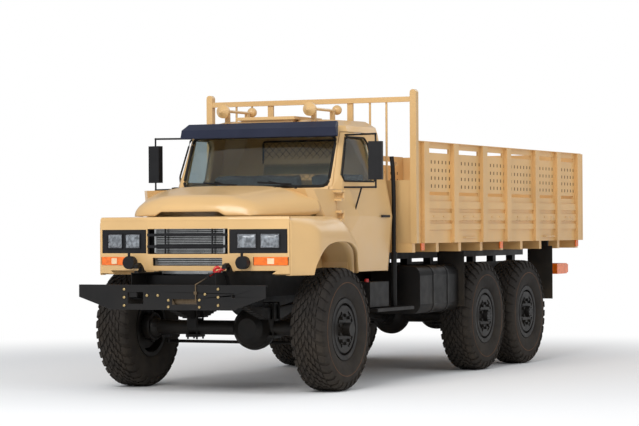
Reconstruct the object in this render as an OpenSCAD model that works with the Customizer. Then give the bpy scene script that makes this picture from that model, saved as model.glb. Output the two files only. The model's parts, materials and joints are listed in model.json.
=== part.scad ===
// Six-wheel military cargo truck, bonneted cab and slatted drop-tail load bed.
// Millimetres. Forward is -Y, the vehicle's left is +X, the ground is Z = 0.

/* [Axles] */
// Distance from front axle to first rear axle
wheelbase = 3500; // [3200:10:3900]
// Distance between the two rear axles
bogie = 1250; // [1180:10:1400]
// Distance between the wheel centre planes of one axle
track = 2020; // [1960:10:2100]
// Position of the front axle along the truck
front_axle_y = -2700; // [-2800:10:-2650]

/* [Wheels] */
// Outer radius of a tyre
tyre_r = 564; // [540:1:580]
// Width of a tyre
tyre_w = 330; // [290:1:350]
// Radius of the rim's flange
rim_r = 282; // [260:1:300]
// Radius of each wheel spindle
spindle_r = 45; // [38:1:55]
// Running clearance of the wheel and kingpin bores
run_gap = 0.05; // [0.02:0.01:0.1]

/* [Chassis] */
// Height of a frame rail
rail_h = 240; // [200:1:260]
// Width of a frame rail's flanges
rail_w = 80; // [60:1:95]
// Thickness of the rail's steel
rail_t = 8; // [6:1:12]
// Height of the rail's top above the ground
rail_top = 1100; // [1080:1:1120]
// Distance from centre to the outer face of a rail
rail_out = 430; // [410:1:450]
// Half width of the front bumper
bumper_half = 944; // [850:1:1000]
// Height of the bumper plate
bumper_h = 222; // [180:1:260]
// Height of the bumper's lower edge
bumper_z = 769; // [730:1:820]

/* [Cab] */
// Thickness of cab walls, doors and roof
cab_t = 55; // [40:1:70]
// Half width of the cab at its widest
cab_half = 1000; // [960:1:1030]
// Half width of the cab at the roof gutter
gutter_half = 842; // [800:1:880]
// Height of the roof gutter
gutter_z = 2440; // [2380:1:2500]
// Position of the cab's rear wall
cab_back_y = -1200; // [-1240:1:-1190]
// Gap around doors, bonnet and hatch
panel_gap = 7; // [6:1:10]

/* [Load bed] */
// Position of the bed's front end
bed_front = -839; // [-860:1:-800]
// Position of the bed's rear end
bed_back = 3870; // [3700:10:3900]
// Half width of the load bed
bed_half = 1160; // [1120:1:1200]
// Height of the bed's underside
bed_z = 1335; // [1320:1:1360]
// Height of the side and tail boards
side_h = 1000; // [800:1:1100]
// Thickness of the side and tail boards
board_t = 40; // [30:1:50]
// Width of a side post
post_w = 126; // [90:1:140]

/* [Front rack] */
// Height of the rack's cross rail
rack_z = 2750; // [2650:1:2800]
// Distance from centre to the middle of a rack post
rack_x = 1125; // [1090:1:1140]
// Width of a rack post
rack_w = 66; // [50:1:80]

/* [Hidden] */
$fn = 48;
sand = "#d8b682";
bed_sand = "#c8a069";
black = "#222222";
glass = "#8fa3a8";
seat_fit = 0.3;

// Axles
axle_z = tyre_r;
mid_axle_y = front_axle_y + wheelbase;
rear_axle_y = mid_axle_y + bogie;
axle_x = track / 2;
rim_seat_r = 254;
rim_half = 127;
flange_t = 12;
king_x = axle_x - 150;
king_r = 20;
ball_r = 107;
housing_in = ball_r + 6;
housing_out = housing_in + 24;
hub_bore = spindle_r + run_gap;
axle_tube_r = 68;
tie_y = front_axle_y + 235;
tie_z = axle_z - 95;
tie_x = king_x - 45;

// Chassis
rail_bottom = rail_top - rail_h;
rail_in = rail_out - rail_w;
bumper_face = -3900;
frame_front = bumper_face + 50;
frame_back = bed_back - 150;
spring_x = 400;
bogie_y = (mid_axle_y + rear_axle_y) / 2;
front_diff_x = 229;
rear_diff_x = 75;
case_out_x = 130;

module box(low, high) {
    translate(low) cube(high - low);
}

module both() {
    children();
    mirror([1, 0, 0]) children();
}

// A plate whose outline is given as (y, z) points, from x0 to x1
module side_plate(points, x0, x1) {
    translate([x0, 0, 0]) rotate([90, 0, 90]) linear_extrude(x1 - x0) polygon(points);
}

// A plate whose outline is given as (x, z) points, from y0 to y1
module front_plate(points, y0, y1) {
    translate([0, y1, 0]) rotate([90, 0, 0]) linear_extrude(y1 - y0) polygon(points);
}

// A round rod between two points
module rod(a, b, r) {
    d = b - a;
    flat = norm([d[0], d[1]]);
    translate(a) rotate([0, atan2(flat, d[2]), atan2(d[1], d[0])]) cylinder(r = r, h = norm(d));
}

// A cylinder along X, from x0 to x1, centred on (y, z)
module x_cyl(x0, x1, y, z, r) {
    translate([x0, y, z]) rotate([0, 90, 0]) cylinder(r = r, h = x1 - x0);
}

// A cylinder along Y, from y0 to y1, centred on (x, z)
module y_cyl(y0, y1, x, z, r) {
    translate([x, y0, z]) rotate([-90, 0, 0]) cylinder(r = r, h = y1 - y0);
}

// Moves a wheel drawn about the origin, axis +X outboard, to its place
module at_wheel(y, side) {
    if (side > 0) translate([axle_x, y, axle_z]) children();
    else mirror([1, 0, 0]) translate([axle_x, y, axle_z]) children();
}

// Wheels
module tyre() {
    shoulder = tyre_w / 2 - 20;
    color(black) rotate([0, 90, 0]) rotate_extrude($fn = 72) polygon([
        [rim_seat_r + seat_fit, -rim_half + 2], [rim_r + 4, -rim_half + 2], [rim_r + 12, -rim_half - 14],
        [rim_r + 90, -tyre_w / 2], [tyre_r - 70, -tyre_w / 2 + 4], [tyre_r - 22, -shoulder],
        [tyre_r, -shoulder + 42], [tyre_r, shoulder - 42], [tyre_r - 22, shoulder],
        [tyre_r - 70, tyre_w / 2 - 4], [rim_r + 90, tyre_w / 2], [rim_r + 12, rim_half + 14],
        [rim_r + 4, rim_half - 2], [rim_seat_r + seat_fit, rim_half - 2]]);
}

disc_t = 12;
disc_face = 138;
drum_r = 205;
drum_in = -72;
drum_t = 14;
hub_r = 92;

// The rim, its dished disc with four slots, the hub and the brake drum; hub_face is the cap's end
module wheel(hub_face) {
    color(black) difference() {
        rotate([0, 90, 0]) rotate_extrude($fn = 72) union() {
            translate([rim_seat_r - 10, -rim_half - flange_t]) square([10, 2 * (rim_half + flange_t)]);
            translate([rim_seat_r - 10, -rim_half - flange_t]) square([rim_r - rim_seat_r + 10, flange_t]);
            translate([rim_seat_r - 10, rim_half]) square([rim_r - rim_seat_r + 10, flange_t]);
            polygon([[rim_seat_r - 5, 80], [rim_seat_r - 5, 96], [215, disc_face], [60, disc_face],
                [60, disc_face - disc_t], [210, disc_face - disc_t]]);
            square([hub_r, disc_face]);
            translate([0, disc_face - 1]) square([62, hub_face - disc_face + 1]);
            translate([drum_r - drum_t, drum_in]) square([drum_t, disc_face - drum_in - disc_t]);
            translate([hub_r - 2, disc_face - disc_t - 20]) square([drum_r - hub_r, 20 + disc_t / 2]);
        }
        for (k = [0:3]) rotate([45 + 90 * k, 0, 0]) wheel_slot();
        x_cyl(-1, hub_face - 30, 0, 0, hub_bore);
    }
}

// One of the wheel disc's kidney slots, sunk into the disc
module wheel_slot() {
    for (a = [-18:9:18]) rotate([a, 0, 0]) x_cyl(disc_face - 8, disc_face + 5, 0, 165, 17);
}

// A faceted ball turned about the kingpin line
module knuckle_ball(r) {
    rotate_extrude() polygon([for (a = [-90:22.5:90]) [r * cos(a), r * sin(a)]]);
}

// The steered knuckle of the left side: half-shell housing, kingpins, spindle and steering arm
module knuckle() {
    color(black) difference() {
        union() {
            translate([king_x, front_axle_y, axle_z]) knuckle_ball(housing_out);
            x_cyl(axle_x + drum_in - 14, axle_x + drum_in - 7, front_axle_y, axle_z, drum_r);
        }
        translate([king_x, front_axle_y, axle_z]) knuckle_ball(housing_in);
        box([king_x - 200, front_axle_y - 200, axle_z - 200],
            [king_x - 30, front_axle_y + 200, axle_z + 200]);
    }
    color(black) for (s = [-1, 1]) translate([king_x, front_axle_y, axle_z + s * 100])
        cylinder(r = king_r, h = 90, center = true);
    color(black) x_cyl(king_x + housing_in + 2, axle_x + 150, front_axle_y, axle_z, spindle_r);
    color(black) difference() {
        union() {
            box([tie_x - 22, front_axle_y + 60, tie_z - 14], [tie_x + 26, tie_y, tie_z + 14]);
            translate([tie_x, tie_y, tie_z - 14]) cylinder(r = 26, h = 28);
            box([tie_x - 2, front_axle_y + 40, tie_z - 14], [king_x + 40, front_axle_y + 100, tie_z + 34]);
        }
        translate([tie_x, tie_y, tie_z - 20]) cylinder(r = king_r - 6 + run_gap, h = 40);
        translate([king_x, front_axle_y, axle_z]) knuckle_ball(housing_in);
    }
}

// The rod that joins both steering arms, hung on pins in their eyes
module tie_rod() {
    color(black) x_cyl(-tie_x, tie_x, tie_y, tie_z - 50, 15);
    color(black) for (s = [-1, 1]) translate([s * tie_x, tie_y, tie_z - 66]) {
        cylinder(r = 24, h = 32);
        cylinder(r = king_r - 6, h = s > 0 ? 66 + 16 : 32);
    }
}

pinion_reach = 260;

// Cones stacked along Z through the given [height, radius] pairs
module stack(profile) {
    for (k = [0 : len(profile) - 2]) translate([0, 0, profile[k][0]])
        cylinder(r1 = profile[k][1], r2 = profile[k + 1][1], h = profile[k + 1][0] - profile[k][0]);
}

through_z = axle_z + 120;

// Axles: a tube with a round differential bowl, spring pads and spindle or ball ends
module axle_casing(y, half, x, bowl_dir) {
    x_cyl(-half, half, y, axle_z, axle_tube_r);
    translate([x, y, axle_z]) rotate([-90 * bowl_dir, 0, 0]) stack([[-165, 95], [-130, 145], [-75, 190],
        [-15, 205], [35, 200], [85, 150], [120, 95], [pinion_reach, 76]]);
}

module front_axle() {
    color(black) difference() {
        union() {
            axle_casing(front_axle_y, king_x - 60, front_diff_x, 1);
            for (s = [-1, 1]) translate([s * king_x, front_axle_y, axle_z]) knuckle_ball(ball_r);
            for (s = [-1, 1])
                box([s * spring_x - 50, front_axle_y - 75, axle_z],
                    [s * spring_x + 50, front_axle_y + 75, axle_pad_z]);
            both() front_clamp();
        }
        both() box([spring_x - 40, front_axle_y - 220, axle_pad_z],
            [spring_x + 40, front_axle_y + 220, axle_pad_z + 150]);
        for (s = [-1, 1]) for (t = [-1, 1]) translate([s * king_x, front_axle_y, axle_z + t * 80])
            cylinder(r = king_r + run_gap, h = 60, center = true);
    }
}

// The U bolts that hold the left front spring down on the axle
module front_clamp() {
    top = axle_pad_z + front_leaves * leaf_t;
    for (s = [-1, 1]) {
        for (t = [-1, 1]) translate([spring_x + t * 48, front_axle_y + s * 60, axle_z - 110])
            cylinder(r = 9, h = top + 42 - axle_z + 110);
        x_cyl(spring_x - 56, spring_x + 56, front_axle_y + s * 60, top + 42, 10);
    }
    box([spring_x - 60, front_axle_y - 80, axle_z - 90],
        [spring_x + 60, front_axle_y + 80, axle_z - axle_tube_r + 5]);
}

module rear_axle(y) {
    drum_wall = axle_x + drum_in - 7;
    axle_casing(y, drum_wall, rear_diff_x, -1);
    for (s = [-1, 1]) {
        box([s * spring_x - 55, y - 80, axle_z], [s * spring_x + 55, y + 80, axle_pad_z - 24]);
        x_cyl(s * spring_x - 50, s * spring_x + 50, y, axle_pad_z - 24, 24);
        x_cyl(s * (axle_x + 50) - 100, s * (axle_x + 50) + 100, y, axle_z, spindle_r);
        x_cyl(s * (drum_wall - 4) - 4, s * (drum_wall - 4) + 4, y, axle_z, drum_r);
        x_cyl(s * (drum_wall + 25) - 30, s * (drum_wall + 25) + 30, y, axle_z, axle_tube_r);
    }
}

module rear_axles() {
    color(black) {
        rear_axle(mid_axle_y);
        rear_axle(rear_axle_y);
        y_cyl(mid_axle_y - 150, mid_axle_y + 200, rear_diff_x, through_z, 62);
    }
}

// Height of a bowed leaf at distance y from its middle
function bow(y, half, rise) = rise * (1 - pow(y / half, 2));

// Half length of leaf k
function leaf_end(k, half, count) = half * (1 - 0.8 * k / count);

// A pack of leaves as one outline: bowed top, stepped bottom; rise is negative for a hanging bow
module leaf_pack(mid_y, mid_z, half, rise, count, leaf, x0, x1) {
    side_plate(concat(
        [for (i = [-5:5]) let (y = i * half / 6) [mid_y + y, mid_z + bow(y, half, rise) - rise]],
        [for (k = [0:count - 1]) for (j = [0, 1]) let (y = leaf_end(k, half, count))
            [mid_y + y, mid_z + bow(y, half, rise) - rise - (k + j) * leaf]],
        [for (k = [count - 1:-1:0]) for (j = [1, 0]) let (y = leaf_end(k, half, count))
            [mid_y - y, mid_z + bow(y, half, rise) - rise - (k + j) * leaf]]), x0, x1);
}

leaf_t = 12;
front_leaves = 9;
rear_leaves = 11;
front_half = 640;
front_rise = -55;
rear_half = 700;
rear_rise = 40;
axle_pad_z = axle_z + 84;

// Front springs over the axle, with their eyes and shackles
module front_springs() {
    top = axle_pad_z + front_leaves * leaf_t;
    eye_z = top - front_rise - leaf_t;
    color(black) both() {
        leaf_pack(front_axle_y, top, front_half, front_rise, front_leaves, leaf_t, spring_x - 38,
            spring_x + 38);
        for (s = [-1, 1]) {
            x_cyl(spring_x - 38, spring_x + 38, front_axle_y + s * front_half, eye_z, 28);
            y = front_axle_y + s * front_half;
            box([spring_x - 42, y - 30, eye_z], [spring_x - 38, y + 30, rail_bottom]);
            box([spring_x + 38, y - 30, eye_z], [spring_x + 42, y + 30, rail_bottom]);
        }
        box([spring_x - 37, front_axle_y - 70, top - 2], [spring_x + 37, front_axle_y + 70, top + 31.5]);
    }
}

// Bogie springs, rocking over a trunnion tube, their ends resting on the axle pads
module rear_springs() {
    top = axle_pad_z + seat_fit + 2 * leaf_t + rear_rise - bow(bogie / 2, rear_half, rear_rise);
    color(black) {
        both() {
            leaf_pack(bogie_y, top, rear_half, rear_rise, rear_leaves, leaf_t, spring_x - 42, spring_x + 42);
            low = top - rear_leaves * leaf_t;
            box([spring_x - 60, bogie_y - 120, top], [spring_x + 60, bogie_y + 120, top + 30]);
            for (s = [-1, 1]) for (t = [-1, 1])
                translate([spring_x + t * 50, bogie_y + s * 95, low - 40])
                    cylinder(r = 10, h = top + 100 - low);
            box([spring_x - 64, bogie_y - 130, low - 36], [spring_x + 64, bogie_y + 130, low]);
            x_cyl(spring_x - 64, spring_x + 64, bogie_y, low - 60, 75);
            side_plate([[bogie_y - 190, rail_bottom + 60], [bogie_y + 190, rail_bottom + 60],
                [bogie_y + 80, low - 130], [bogie_y - 80, low - 130]], rail_in - 30, spring_x - 64);
            box([rail_in - 30, bogie_y - 150, rail_bottom + rail_t],
                [rail_out - rail_t, bogie_y + 150, rail_bottom + 60]);
        }
        x_cyl(-spring_x, spring_x, bogie_y, top - rear_leaves * leaf_t - 60, 50);
    }
}

// Chassis
cross_y = [frame_front + 270, -250, bogie_y - 250, bogie_y + 250, 2500, frame_back - 60];

// A C-section rail on the left and its mirror, with cross members between them
module frame_rails() {
    color(black) {
        both() difference() {
            box([rail_in, frame_front, rail_bottom], [rail_out, frame_back, rail_top]);
            box([rail_in - 1, frame_front - 1, rail_bottom + rail_t],
                [rail_out - rail_t, frame_back + 1, rail_top - rail_t]);
        }
        for (y = cross_y) {
            box([-rail_out + rail_t, y - 40, rail_bottom + 30],
                [rail_out - rail_t, y + 40, rail_bottom + 38]);
            box([-rail_out + rail_t, y - 4, rail_bottom + 38], [rail_out - rail_t, y + 4, rail_top - 30]);
        }
        both() for (y = [bed_front + 60 : 620 : frame_back]) {
            box([rail_in, y - 45, rail_top], [rail_out, y + 45, sill_z]);
        }
    }
}

sill_z = 1165;
slot_half = 127;
slot_x = 140;
bumper_top = bumper_z + bumper_h;
bumper_t = 10;
bumper_flange = 50;

module bumper_outline() {
    polygon([[-bumper_half, bumper_top], [bumper_half, bumper_top], [bumper_half, bumper_z + 110],
        [bumper_half - 330, bumper_z], [-bumper_half + 330, bumper_z], [-bumper_half, bumper_z + 110]]);
}

// A pressed channel bumper with a tow opening, a fairlead slot and a starting-handle hole
module front_bumper() {
    color("#2d2b2c") difference() {
        translate([0, bumper_face + bumper_flange, 0]) rotate([90, 0, 0]) linear_extrude(bumper_flange)
            bumper_outline();
        translate([0, bumper_face + bumper_flange + 1, 0]) rotate([90, 0, 0])
            linear_extrude(bumper_flange - bumper_t + 1)
            difference() {
                bumper_outline();
                box2([-bumper_half - 1, bumper_top - bumper_t], [bumper_half + 1, bumper_top + 1]);
                box2([-bumper_half - 1, bumper_z - 1], [bumper_half + 1, bumper_z + bumper_t]);
            }
        box([-438, bumper_face - 1, 822], [-280, bumper_face + 40, 927]);
        box([slot_x - slot_half, bumper_face - 1, 818], [slot_x + slot_half, bumper_face + 40, 866]);
        y_cyl(bumper_face - 1, bumper_face + 40, 628, 895, 16);
    }
    color("#2d2b2c") both() box([rail_in, bumper_face + bumper_t, rail_bottom + 20],
        [rail_out, frame_front, bumper_top - bumper_t]);
}

module box2(low, high) {
    translate(low) square(high - low);
}

hook_x = 449;
hook_y = -3674;
hook_z = 1128;

// A forged tow hook on a plate bolted to the rail, and the same on the other side
module tow_hooks() {
    color(black) both() {
        difference() {
            side_plate([[hook_y - 70, hook_z - 10], [hook_y - 55, hook_z + 40], [hook_y, hook_z + 55],
                [hook_y + 40, hook_z + 30], [hook_y + 86, hook_z - 30], [hook_y + 260, rail_top - 60],
                [hook_y + 260, rail_top - 160], [hook_y + 60, rail_top - 150], [hook_y - 10, hook_z - 60]],
                rail_out, rail_out + 38);
            x_cyl(rail_out - 1, rail_out + 39, hook_y, hook_z, 24);
            side_plate([[hook_y - 80, hook_z - 14], [hook_y - 10, hook_z - 22], [hook_y - 10, hook_z + 4],
                [hook_y - 80, hook_z + 4]], rail_out - 1, rail_out + 39);
        }
    }
}

winch_y = bumper_face + 190;
winch_z = 880;
drum_half = 175;

// Winch between the rails: drum and end housings, and its rope led out to the left tow hook
module winch() {
    color(black) {
        x_cyl(slot_x - drum_half, slot_x + drum_half, winch_y, winch_z, 48);
        x_cyl(slot_x - drum_half - 70, slot_x - drum_half, winch_y, winch_z, 82);
        x_cyl(-rail_in + 8, slot_x - drum_half - 70, winch_y, winch_z, 60);
        box([slot_x + drum_half, winch_y - 70, winch_z - 90], [rail_in, winch_y + 70, winch_z + 70]);
        box([rail_in - 1, winch_y - 70, rail_bottom + rail_t],
            [rail_out - rail_t, winch_y + 70, winch_z + 70]);
        box([-rail_out + rail_t, winch_y - 70, rail_bottom + rail_t],
            [-rail_in + 8, winch_y + 70, winch_z + 70]);
    }
    color("#6b5a45") x_cyl(slot_x - drum_half, slot_x + drum_half, winch_y, winch_z, 66);
    color("#6b5a45") for (k = [0 : len(rope) - 2]) {
        rod(rope[k], rope[k + 1], 6);
        translate(rope[k + 1]) sphere(r = 7);
    }
    color("silver") for (k = [2, 4]) let (mid = (rope[k] + rope[k + 1]) / 2)
        translate(mid) cube([30, 14, 26], center = true);
    color("#c01818") rod(rope[len(rope) - 1], [hook_x, hook_y - 40, hook_z + 8], 14);
}

rope_x = 258;
rope_front = bumper_face - 9;
rope = [[rope_x, winch_y, winch_z - 60], [rope_x, bumper_face + 20, 838], [rope_x, rope_front, 848],
    [rope_x, rope_front, bumper_top + 4], [rope_x + 12, bumper_face + 2, bumper_top + 13],
    [400, hook_y - 60, hook_z - 10]];

// Engine: one block standing for the whole closed unit
module engine() {
    color("#50565a") {
        box([-250, front_axle_y - 650, 840], [250, gearbox_y, 1480]);
        box([-250, front_axle_y - 600, 770], [20, gearbox_y - 40, 840]);
        both() box([250, front_axle_y - 300, 900], [rail_out - rail_t, front_axle_y - 220, 1000]);
    }
}

gearbox_y = front_axle_y + 260;
case_y = -1050;

module gearbox() {
    color("#3c3f40") {
        y_cyl(gearbox_y, gearbox_y + 190, 0, 850, 200);
        box([-150, gearbox_y + 190, 700], [150, gearbox_y + 740, 1020]);
        y_cyl(gearbox_y + 740, case_y, 0, 900, 42);
        box([-190, case_y, 780], [190, case_y + 330, 1060]);
        box([60, case_y, 540], [340, case_y + 310, 800]);
        both() box([190, case_y + 110, 940], [rail_out - rail_t, case_y + 200, 1000]);
        both() box([150, gearbox_y + 400, 900], [rail_out - rail_t, gearbox_y + 480, 960]);
    }
}

module prop_shaft(a, b) {
    rod(a, b, 38);
    for (p = [a, b]) y_cyl(p[1] - 12, p[1] + 12, p[0], p[2], 66);
}

// Shafts from the transfer case to the three axles
module prop_shafts() {
    case_z = 640;
    color(black) {
        prop_shaft([front_diff_x, case_y - 12, case_z],
            [front_diff_x, front_axle_y + pinion_reach + 12, axle_z]);
        prop_shaft([case_out_x, case_y + 322, case_z], [rear_diff_x, mid_axle_y - pinion_reach - 12, axle_z]);
        prop_shaft([rear_diff_x, mid_axle_y + 212, through_z],
            [rear_diff_x, rear_axle_y - pinion_reach - 12, axle_z]);
    }
}

// Radiator behind the grille
module radiator() {
    color("#b9bcbb") box([-330, front_axle_y - 760, 1080], [330, front_axle_y - 690, 1500]);
    color(black) both() box([330, front_axle_y - 750, rail_top], [372, front_axle_y - 700, 1480]);
}

tank_x0 = 560;
tank_x1 = 1090;
tank_y0 = -800;
tank_len = 1000;
tank_z0 = 635;
tank_z1 = 1108;
tank_round = 95;

// Rounded box drawn in (x, z), extruded along the truck
module round_bar(x0, x1, z0, z1, r, y0, y1) {
    translate([0, y1, 0]) rotate([90, 0, 0]) linear_extrude(y1 - y0) union() {
        translate([x0 + r, z0]) square([x1 - x0 - 2 * r, z1 - z0]);
        translate([x0, z0 + r]) square([x1 - x0, z1 - z0 - 2 * r]);
        for (x = [x0 + r, x1 - r]) for (z = [z0 + r, z1 - r]) translate([x, z]) circle(r = r);
    }
}

// Fuel tank on the left, on two brackets from the rail, with straps
module fuel_tank() {
    color(black) {
        round_bar(tank_x0, tank_x1, tank_z0, tank_z1, tank_round, tank_y0, tank_y0 + tank_len);
        for (y = [tank_y0 + 330, tank_y0 + 700])
            round_bar(tank_x0 - 6, tank_x1 + 6, tank_z0 - 6, tank_z1 + 6, tank_round + 6, y, y + 40);
        for (y = [tank_y0 + 330, tank_y0 + 700]) difference() {
            box([rail_out, y - 20, tank_z0 + 40], [tank_x0 + 60, y + 60, rail_top - 20]);
            box([rail_out + 30, y - 21, tank_z0 + 39], [tank_x0 - 20, y + 61, tank_z0 + 150]);
        }
        translate([tank_x0 + 170, tank_y0 + 160, tank_z1 - 2]) cylinder(r = 45, h = 32);
    }
}

battery_y = -1850;

// Battery box and step on the left, air reservoirs and silencer on the right
module battery_box() {
    color(black) {
        box([rail_out, battery_y, 735], [1020, battery_y + 440, 972]);
        box([rail_out, battery_y + 440, 720], [780, battery_y + 1000, 760]);
        box([780, battery_y + 20, 690], [1090, battery_y + 900, 722]);
        box([740, battery_y + 20, 690], [790, battery_y + 900, 740]);
        box([-700, -1150, 860], [-rail_out, -1090, 900]);
        box([-700, -350, 860], [-rail_out, -290, 900]);
        y_cyl(-1250, -200, -640, 740, 125);
        box([-700, -1850, 1000], [-rail_out, -1790, 1040]);
        y_cyl(-1950, -1300, -600, 880, 130);
    }
    color("#c01818") translate([930, battery_y + 120, 972]) cylinder(r = 22, h = 30);
}

front_flap_y = mid_axle_y - 586;
rear_flap_y = rear_axle_y + 830;

// Rubber flaps before and behind the bogie wheels, hung from the bed
module mudflaps() {
    color(black) both() {
        box([855, front_flap_y, 680], [1150, front_flap_y + 8, bearer_z]);
        box([855, rear_flap_y, 680], [1150, rear_flap_y + 8, bed_z - 60]);
        box([855, rear_flap_y - 20, bed_z - 60], [1100, rear_flap_y + 20, bed_z]);
    }
}

lamp_bar_y = 3300;

// Bar behind the bogie that carries the tail lamps
module tail_lamps() {
    color(black) {
        both() box([rail_out, lamp_bar_y, 945], [800, lamp_bar_y + 60, 1075]);
        both() box([800, lamp_bar_y, 950], [1060, lamp_bar_y + 330, 1070]);
    }
    color("#c8501e") both() box([840, lamp_bar_y + 330, 962], [1050, lamp_bar_y + 400, 1058]);
}

// Cab
belt_z = 1850;
cab_low_z = 1070;
sill_top = 1140;
cowl_z = 1600;
cowl_y = -2723;
screen_y = -2290;
roof_front_y = -2060;
roof_z = 2530;

// One level of the cab's outline in plan, shrunk by t: bowed front, side from front_half to half
module cab_level(z, half, front_half, y0, bow, t) {
    translate([0, 0, z]) linear_extrude(1) polygon([
        [-front_half * 0.45, y0 + t], [front_half * 0.45, y0 + t], [front_half - 60, y0 + bow * 0.6 + t],
        [front_half - t, y0 + bow + 60 + t], [half - t, y0 + bow + 700], [half - t, cab_back_y - t - 70],
        [half - t - 70, cab_back_y - t], [-half + t + 70, cab_back_y - t], [-half + t, cab_back_y - t - 70],
        [-half + t, y0 + bow + 700], [-front_half + t, y0 + bow + 60 + t],
            [-front_half + 60, y0 + bow * 0.6 + t]]);
}

// The cab's solid form, shrunk by t: lower body, cowl, and glasshouse with a crowned roof
module cab_form(t) {
    inner = t > 10;
    hull() {
        cab_level(inner ? sill_top : cab_low_z, 950, 930, cowl_y + 60, 0, t);
        cab_level(cowl_z - 1, cab_half, 940, cowl_y, 0, t);
    }
    hull() {
        cab_level(cowl_z - 1, cab_half, 940, cowl_y, 0, t);
        cab_level(belt_z - 1 - t, cab_half - 48, 885, cowl_y - 137, 0, t);
    }
    hull() {
        cab_level(belt_z - 2 - t, cab_half - 48, 880, screen_y, 60, t);
        cab_level(gutter_z - 40, gutter_half + 6, 830, roof_front_y + 10, 60, t);
        cab_level(gutter_z + 20 - t, gutter_half - 15, 800, roof_front_y + 30, 60, t);
        cab_level(roof_z - 1 - t, gutter_half - 190, 560, roof_front_y + 180, 60, t);
    }
}

module cab_wall() {
    difference() {
        cab_form(0);
        cab_form(cab_t);
    }
}

door_back = -1290;
door_low = 1076;
door_top = 2395;
window_low = 1930;
window_top = 2352;
hinge_x = 1002;
hinge_y = -2402;
door_in = 785;
door_hinge_z = [1600, 1790];

// The door's outline in side view, grown by g
module door_outline(g) {
    polygon([[-2440 - g, 1840], [-2430 - g, 1560], [-2200 - g, 1425], [-2096 - g, 1300],
        [-2096 - g, door_low - g], [door_back + g, door_low - g], [door_back + g, belt_z],
        [door_back - 20 + g, door_top - 60], [door_back - 80 + g, door_top + g], [-1998 - g, door_top + g],
        [-2235 - g, 1880]]);
}

module window_outline(g) {
    polygon([[-2110 - g, window_low - g], [-1550, window_low - g], [-1505 + g, window_low + 40],
        [-1530 + g, window_top - 60], [-1590, window_top + g], [-1975 - g, window_top + g],
        [-2135 - g, window_low + 60]]);
}

// Cuts or keeps what lies on the left side, outwards of the door's inner limit less g, inside the side
// outline given
module through_side(g) {
    translate([door_in - g, 0, 0]) rotate([90, 0, 90]) linear_extrude(400) children();
}

// The wheel arch in side view, grown by g
arch_half = 540;
arch_top = 1370;
arch_low = 900;

module arch_outline(g) {
    polygon([[front_axle_y - arch_half - g, arch_low], [front_axle_y - arch_half + 60 - g, arch_top - 200],
        [front_axle_y - arch_half + 130 - g, arch_top - 60 + g / 2], [front_axle_y - 270, arch_top + g],
        [front_axle_y + 270, arch_top + g], [front_axle_y + arch_half - 110 + g, arch_top - 60 + g / 2],
        [front_axle_y + arch_half - 60 + g, arch_top - 200], [front_axle_y + arch_half + g, arch_low]]);
}

well_x = 690;
liner_t = 8;
screen_half = 768;
screen_low = 1885;
screen_top = 2366;

module screen_opening(g) {
    front_plate([[-screen_half - g, screen_low - g], [screen_half + g, screen_low - g],
        [screen_half - 6 + g, screen_top + g], [-screen_half + 6 - g, screen_top + g]],
        screen_y - 100, roof_front_y + 130);
}

module rear_opening(g) {
    front_plate([[-430 - g, 1960 - g], [430 + g, 1960 - g], [430 + g, 2340 + g], [-430 - g, 2340 + g]],
        cab_back_y - 130, cab_back_y + 20);
}

// Doghouse over the engine's rear end
doghouse_half = 330;
doghouse_y = gearbox_y + 60;
doghouse_z = 1530;

module doghouse(t) {
    box([-doghouse_half - t, cowl_y - 100, 1000], [doghouse_half + t, doghouse_y + t, doghouse_z + t]);
}

hatch_y = -1700;
hatch_half = 290;

module cab_shell() {
    color(sand) difference() {
        union() {
            cab_wall();
            intersection() {
                cab_form(0.5);
                union() {
                    doghouse(20);
                    both() translate([well_x - liner_t, 0, 0]) rotate([90, 0, 90]) linear_extrude(400)
                        arch_outline(20);
                }
            }
        }
        doghouse(0);
        both() translate([well_x, 0, 0]) rotate([90, 0, 90]) linear_extrude(500) arch_outline(liner_t + 1);
        both() through_side(panel_gap) door_outline(panel_gap);
        screen_opening(0);
        rear_opening(0);
        box([-460, cowl_y - 50, 1000], [460, cab_back_y + 1, 1124]);
        box([-hatch_half, hatch_y - hatch_half, 2440], [hatch_half, hatch_y + hatch_half, 2600]);
    }
    color(sand) both() for (y = [-2330, -1330]) box([360, y - 40, rail_top], [425, y + 40, 1124.5]);
}

bonnet_hinge_y = -2850;
bonnet_hinge_z = 1868;
bonnet_hinge_x = 520;
hatch_hinge_z = 2541;
hatch_hinge_x = 180;

// The cab's two ears and the pin of a bonnet hinge
module bonnet_lugs() {
    x = bonnet_hinge_x;
    for (dx = [-40, 26]) box([x + dx, bonnet_hinge_y - 8, belt_z],
        [x + dx + 14, bonnet_hinge_y + 8, bonnet_hinge_z + 8]);
    x_cyl(x - 39, x + 39, bonnet_hinge_y, bonnet_hinge_z, 6);
}

// The roof's two ears and the pin of a hatch hinge
module hatch_lugs() {
    x = hatch_hinge_x;
    for (dx = [-36, 24]) box([x + dx, hatch_hinge_y - 7, roof_z],
        [x + dx + 12, hatch_hinge_y + 7, hatch_hinge_z + 7]);
    x_cyl(x - 35, x + 35, hatch_hinge_y, hatch_hinge_z, 5);
}

hinge_r = 9;

// Cab half of a door hinge: pin with a barrel below and above the door's barrel
module hinge_post(z) {
    translate([hinge_x, hinge_y, z - 50]) cylinder(r = hinge_r, h = 100);
    for (dz = [-50, 30]) translate([0, 0, z + dz]) {
        translate([hinge_x, hinge_y, 0]) cylinder(r = 16, h = 20);
        box([hinge_x - 80, hinge_y - 62, 0], [hinge_x, hinge_y - 42, 20]);
        box([hinge_x - 12, hinge_y - 62, 0], [hinge_x + 10, hinge_y, 20]);
    }
}

// The fixed halves of all hinges on the cab
module hinges() {
    color(sand) both() difference() {
        for (z = door_hinge_z) hinge_post(z);
        cab_form(0);
    }
    color(black) both() bonnet_lugs();
    color(black) both() hatch_lugs();
}

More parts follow.
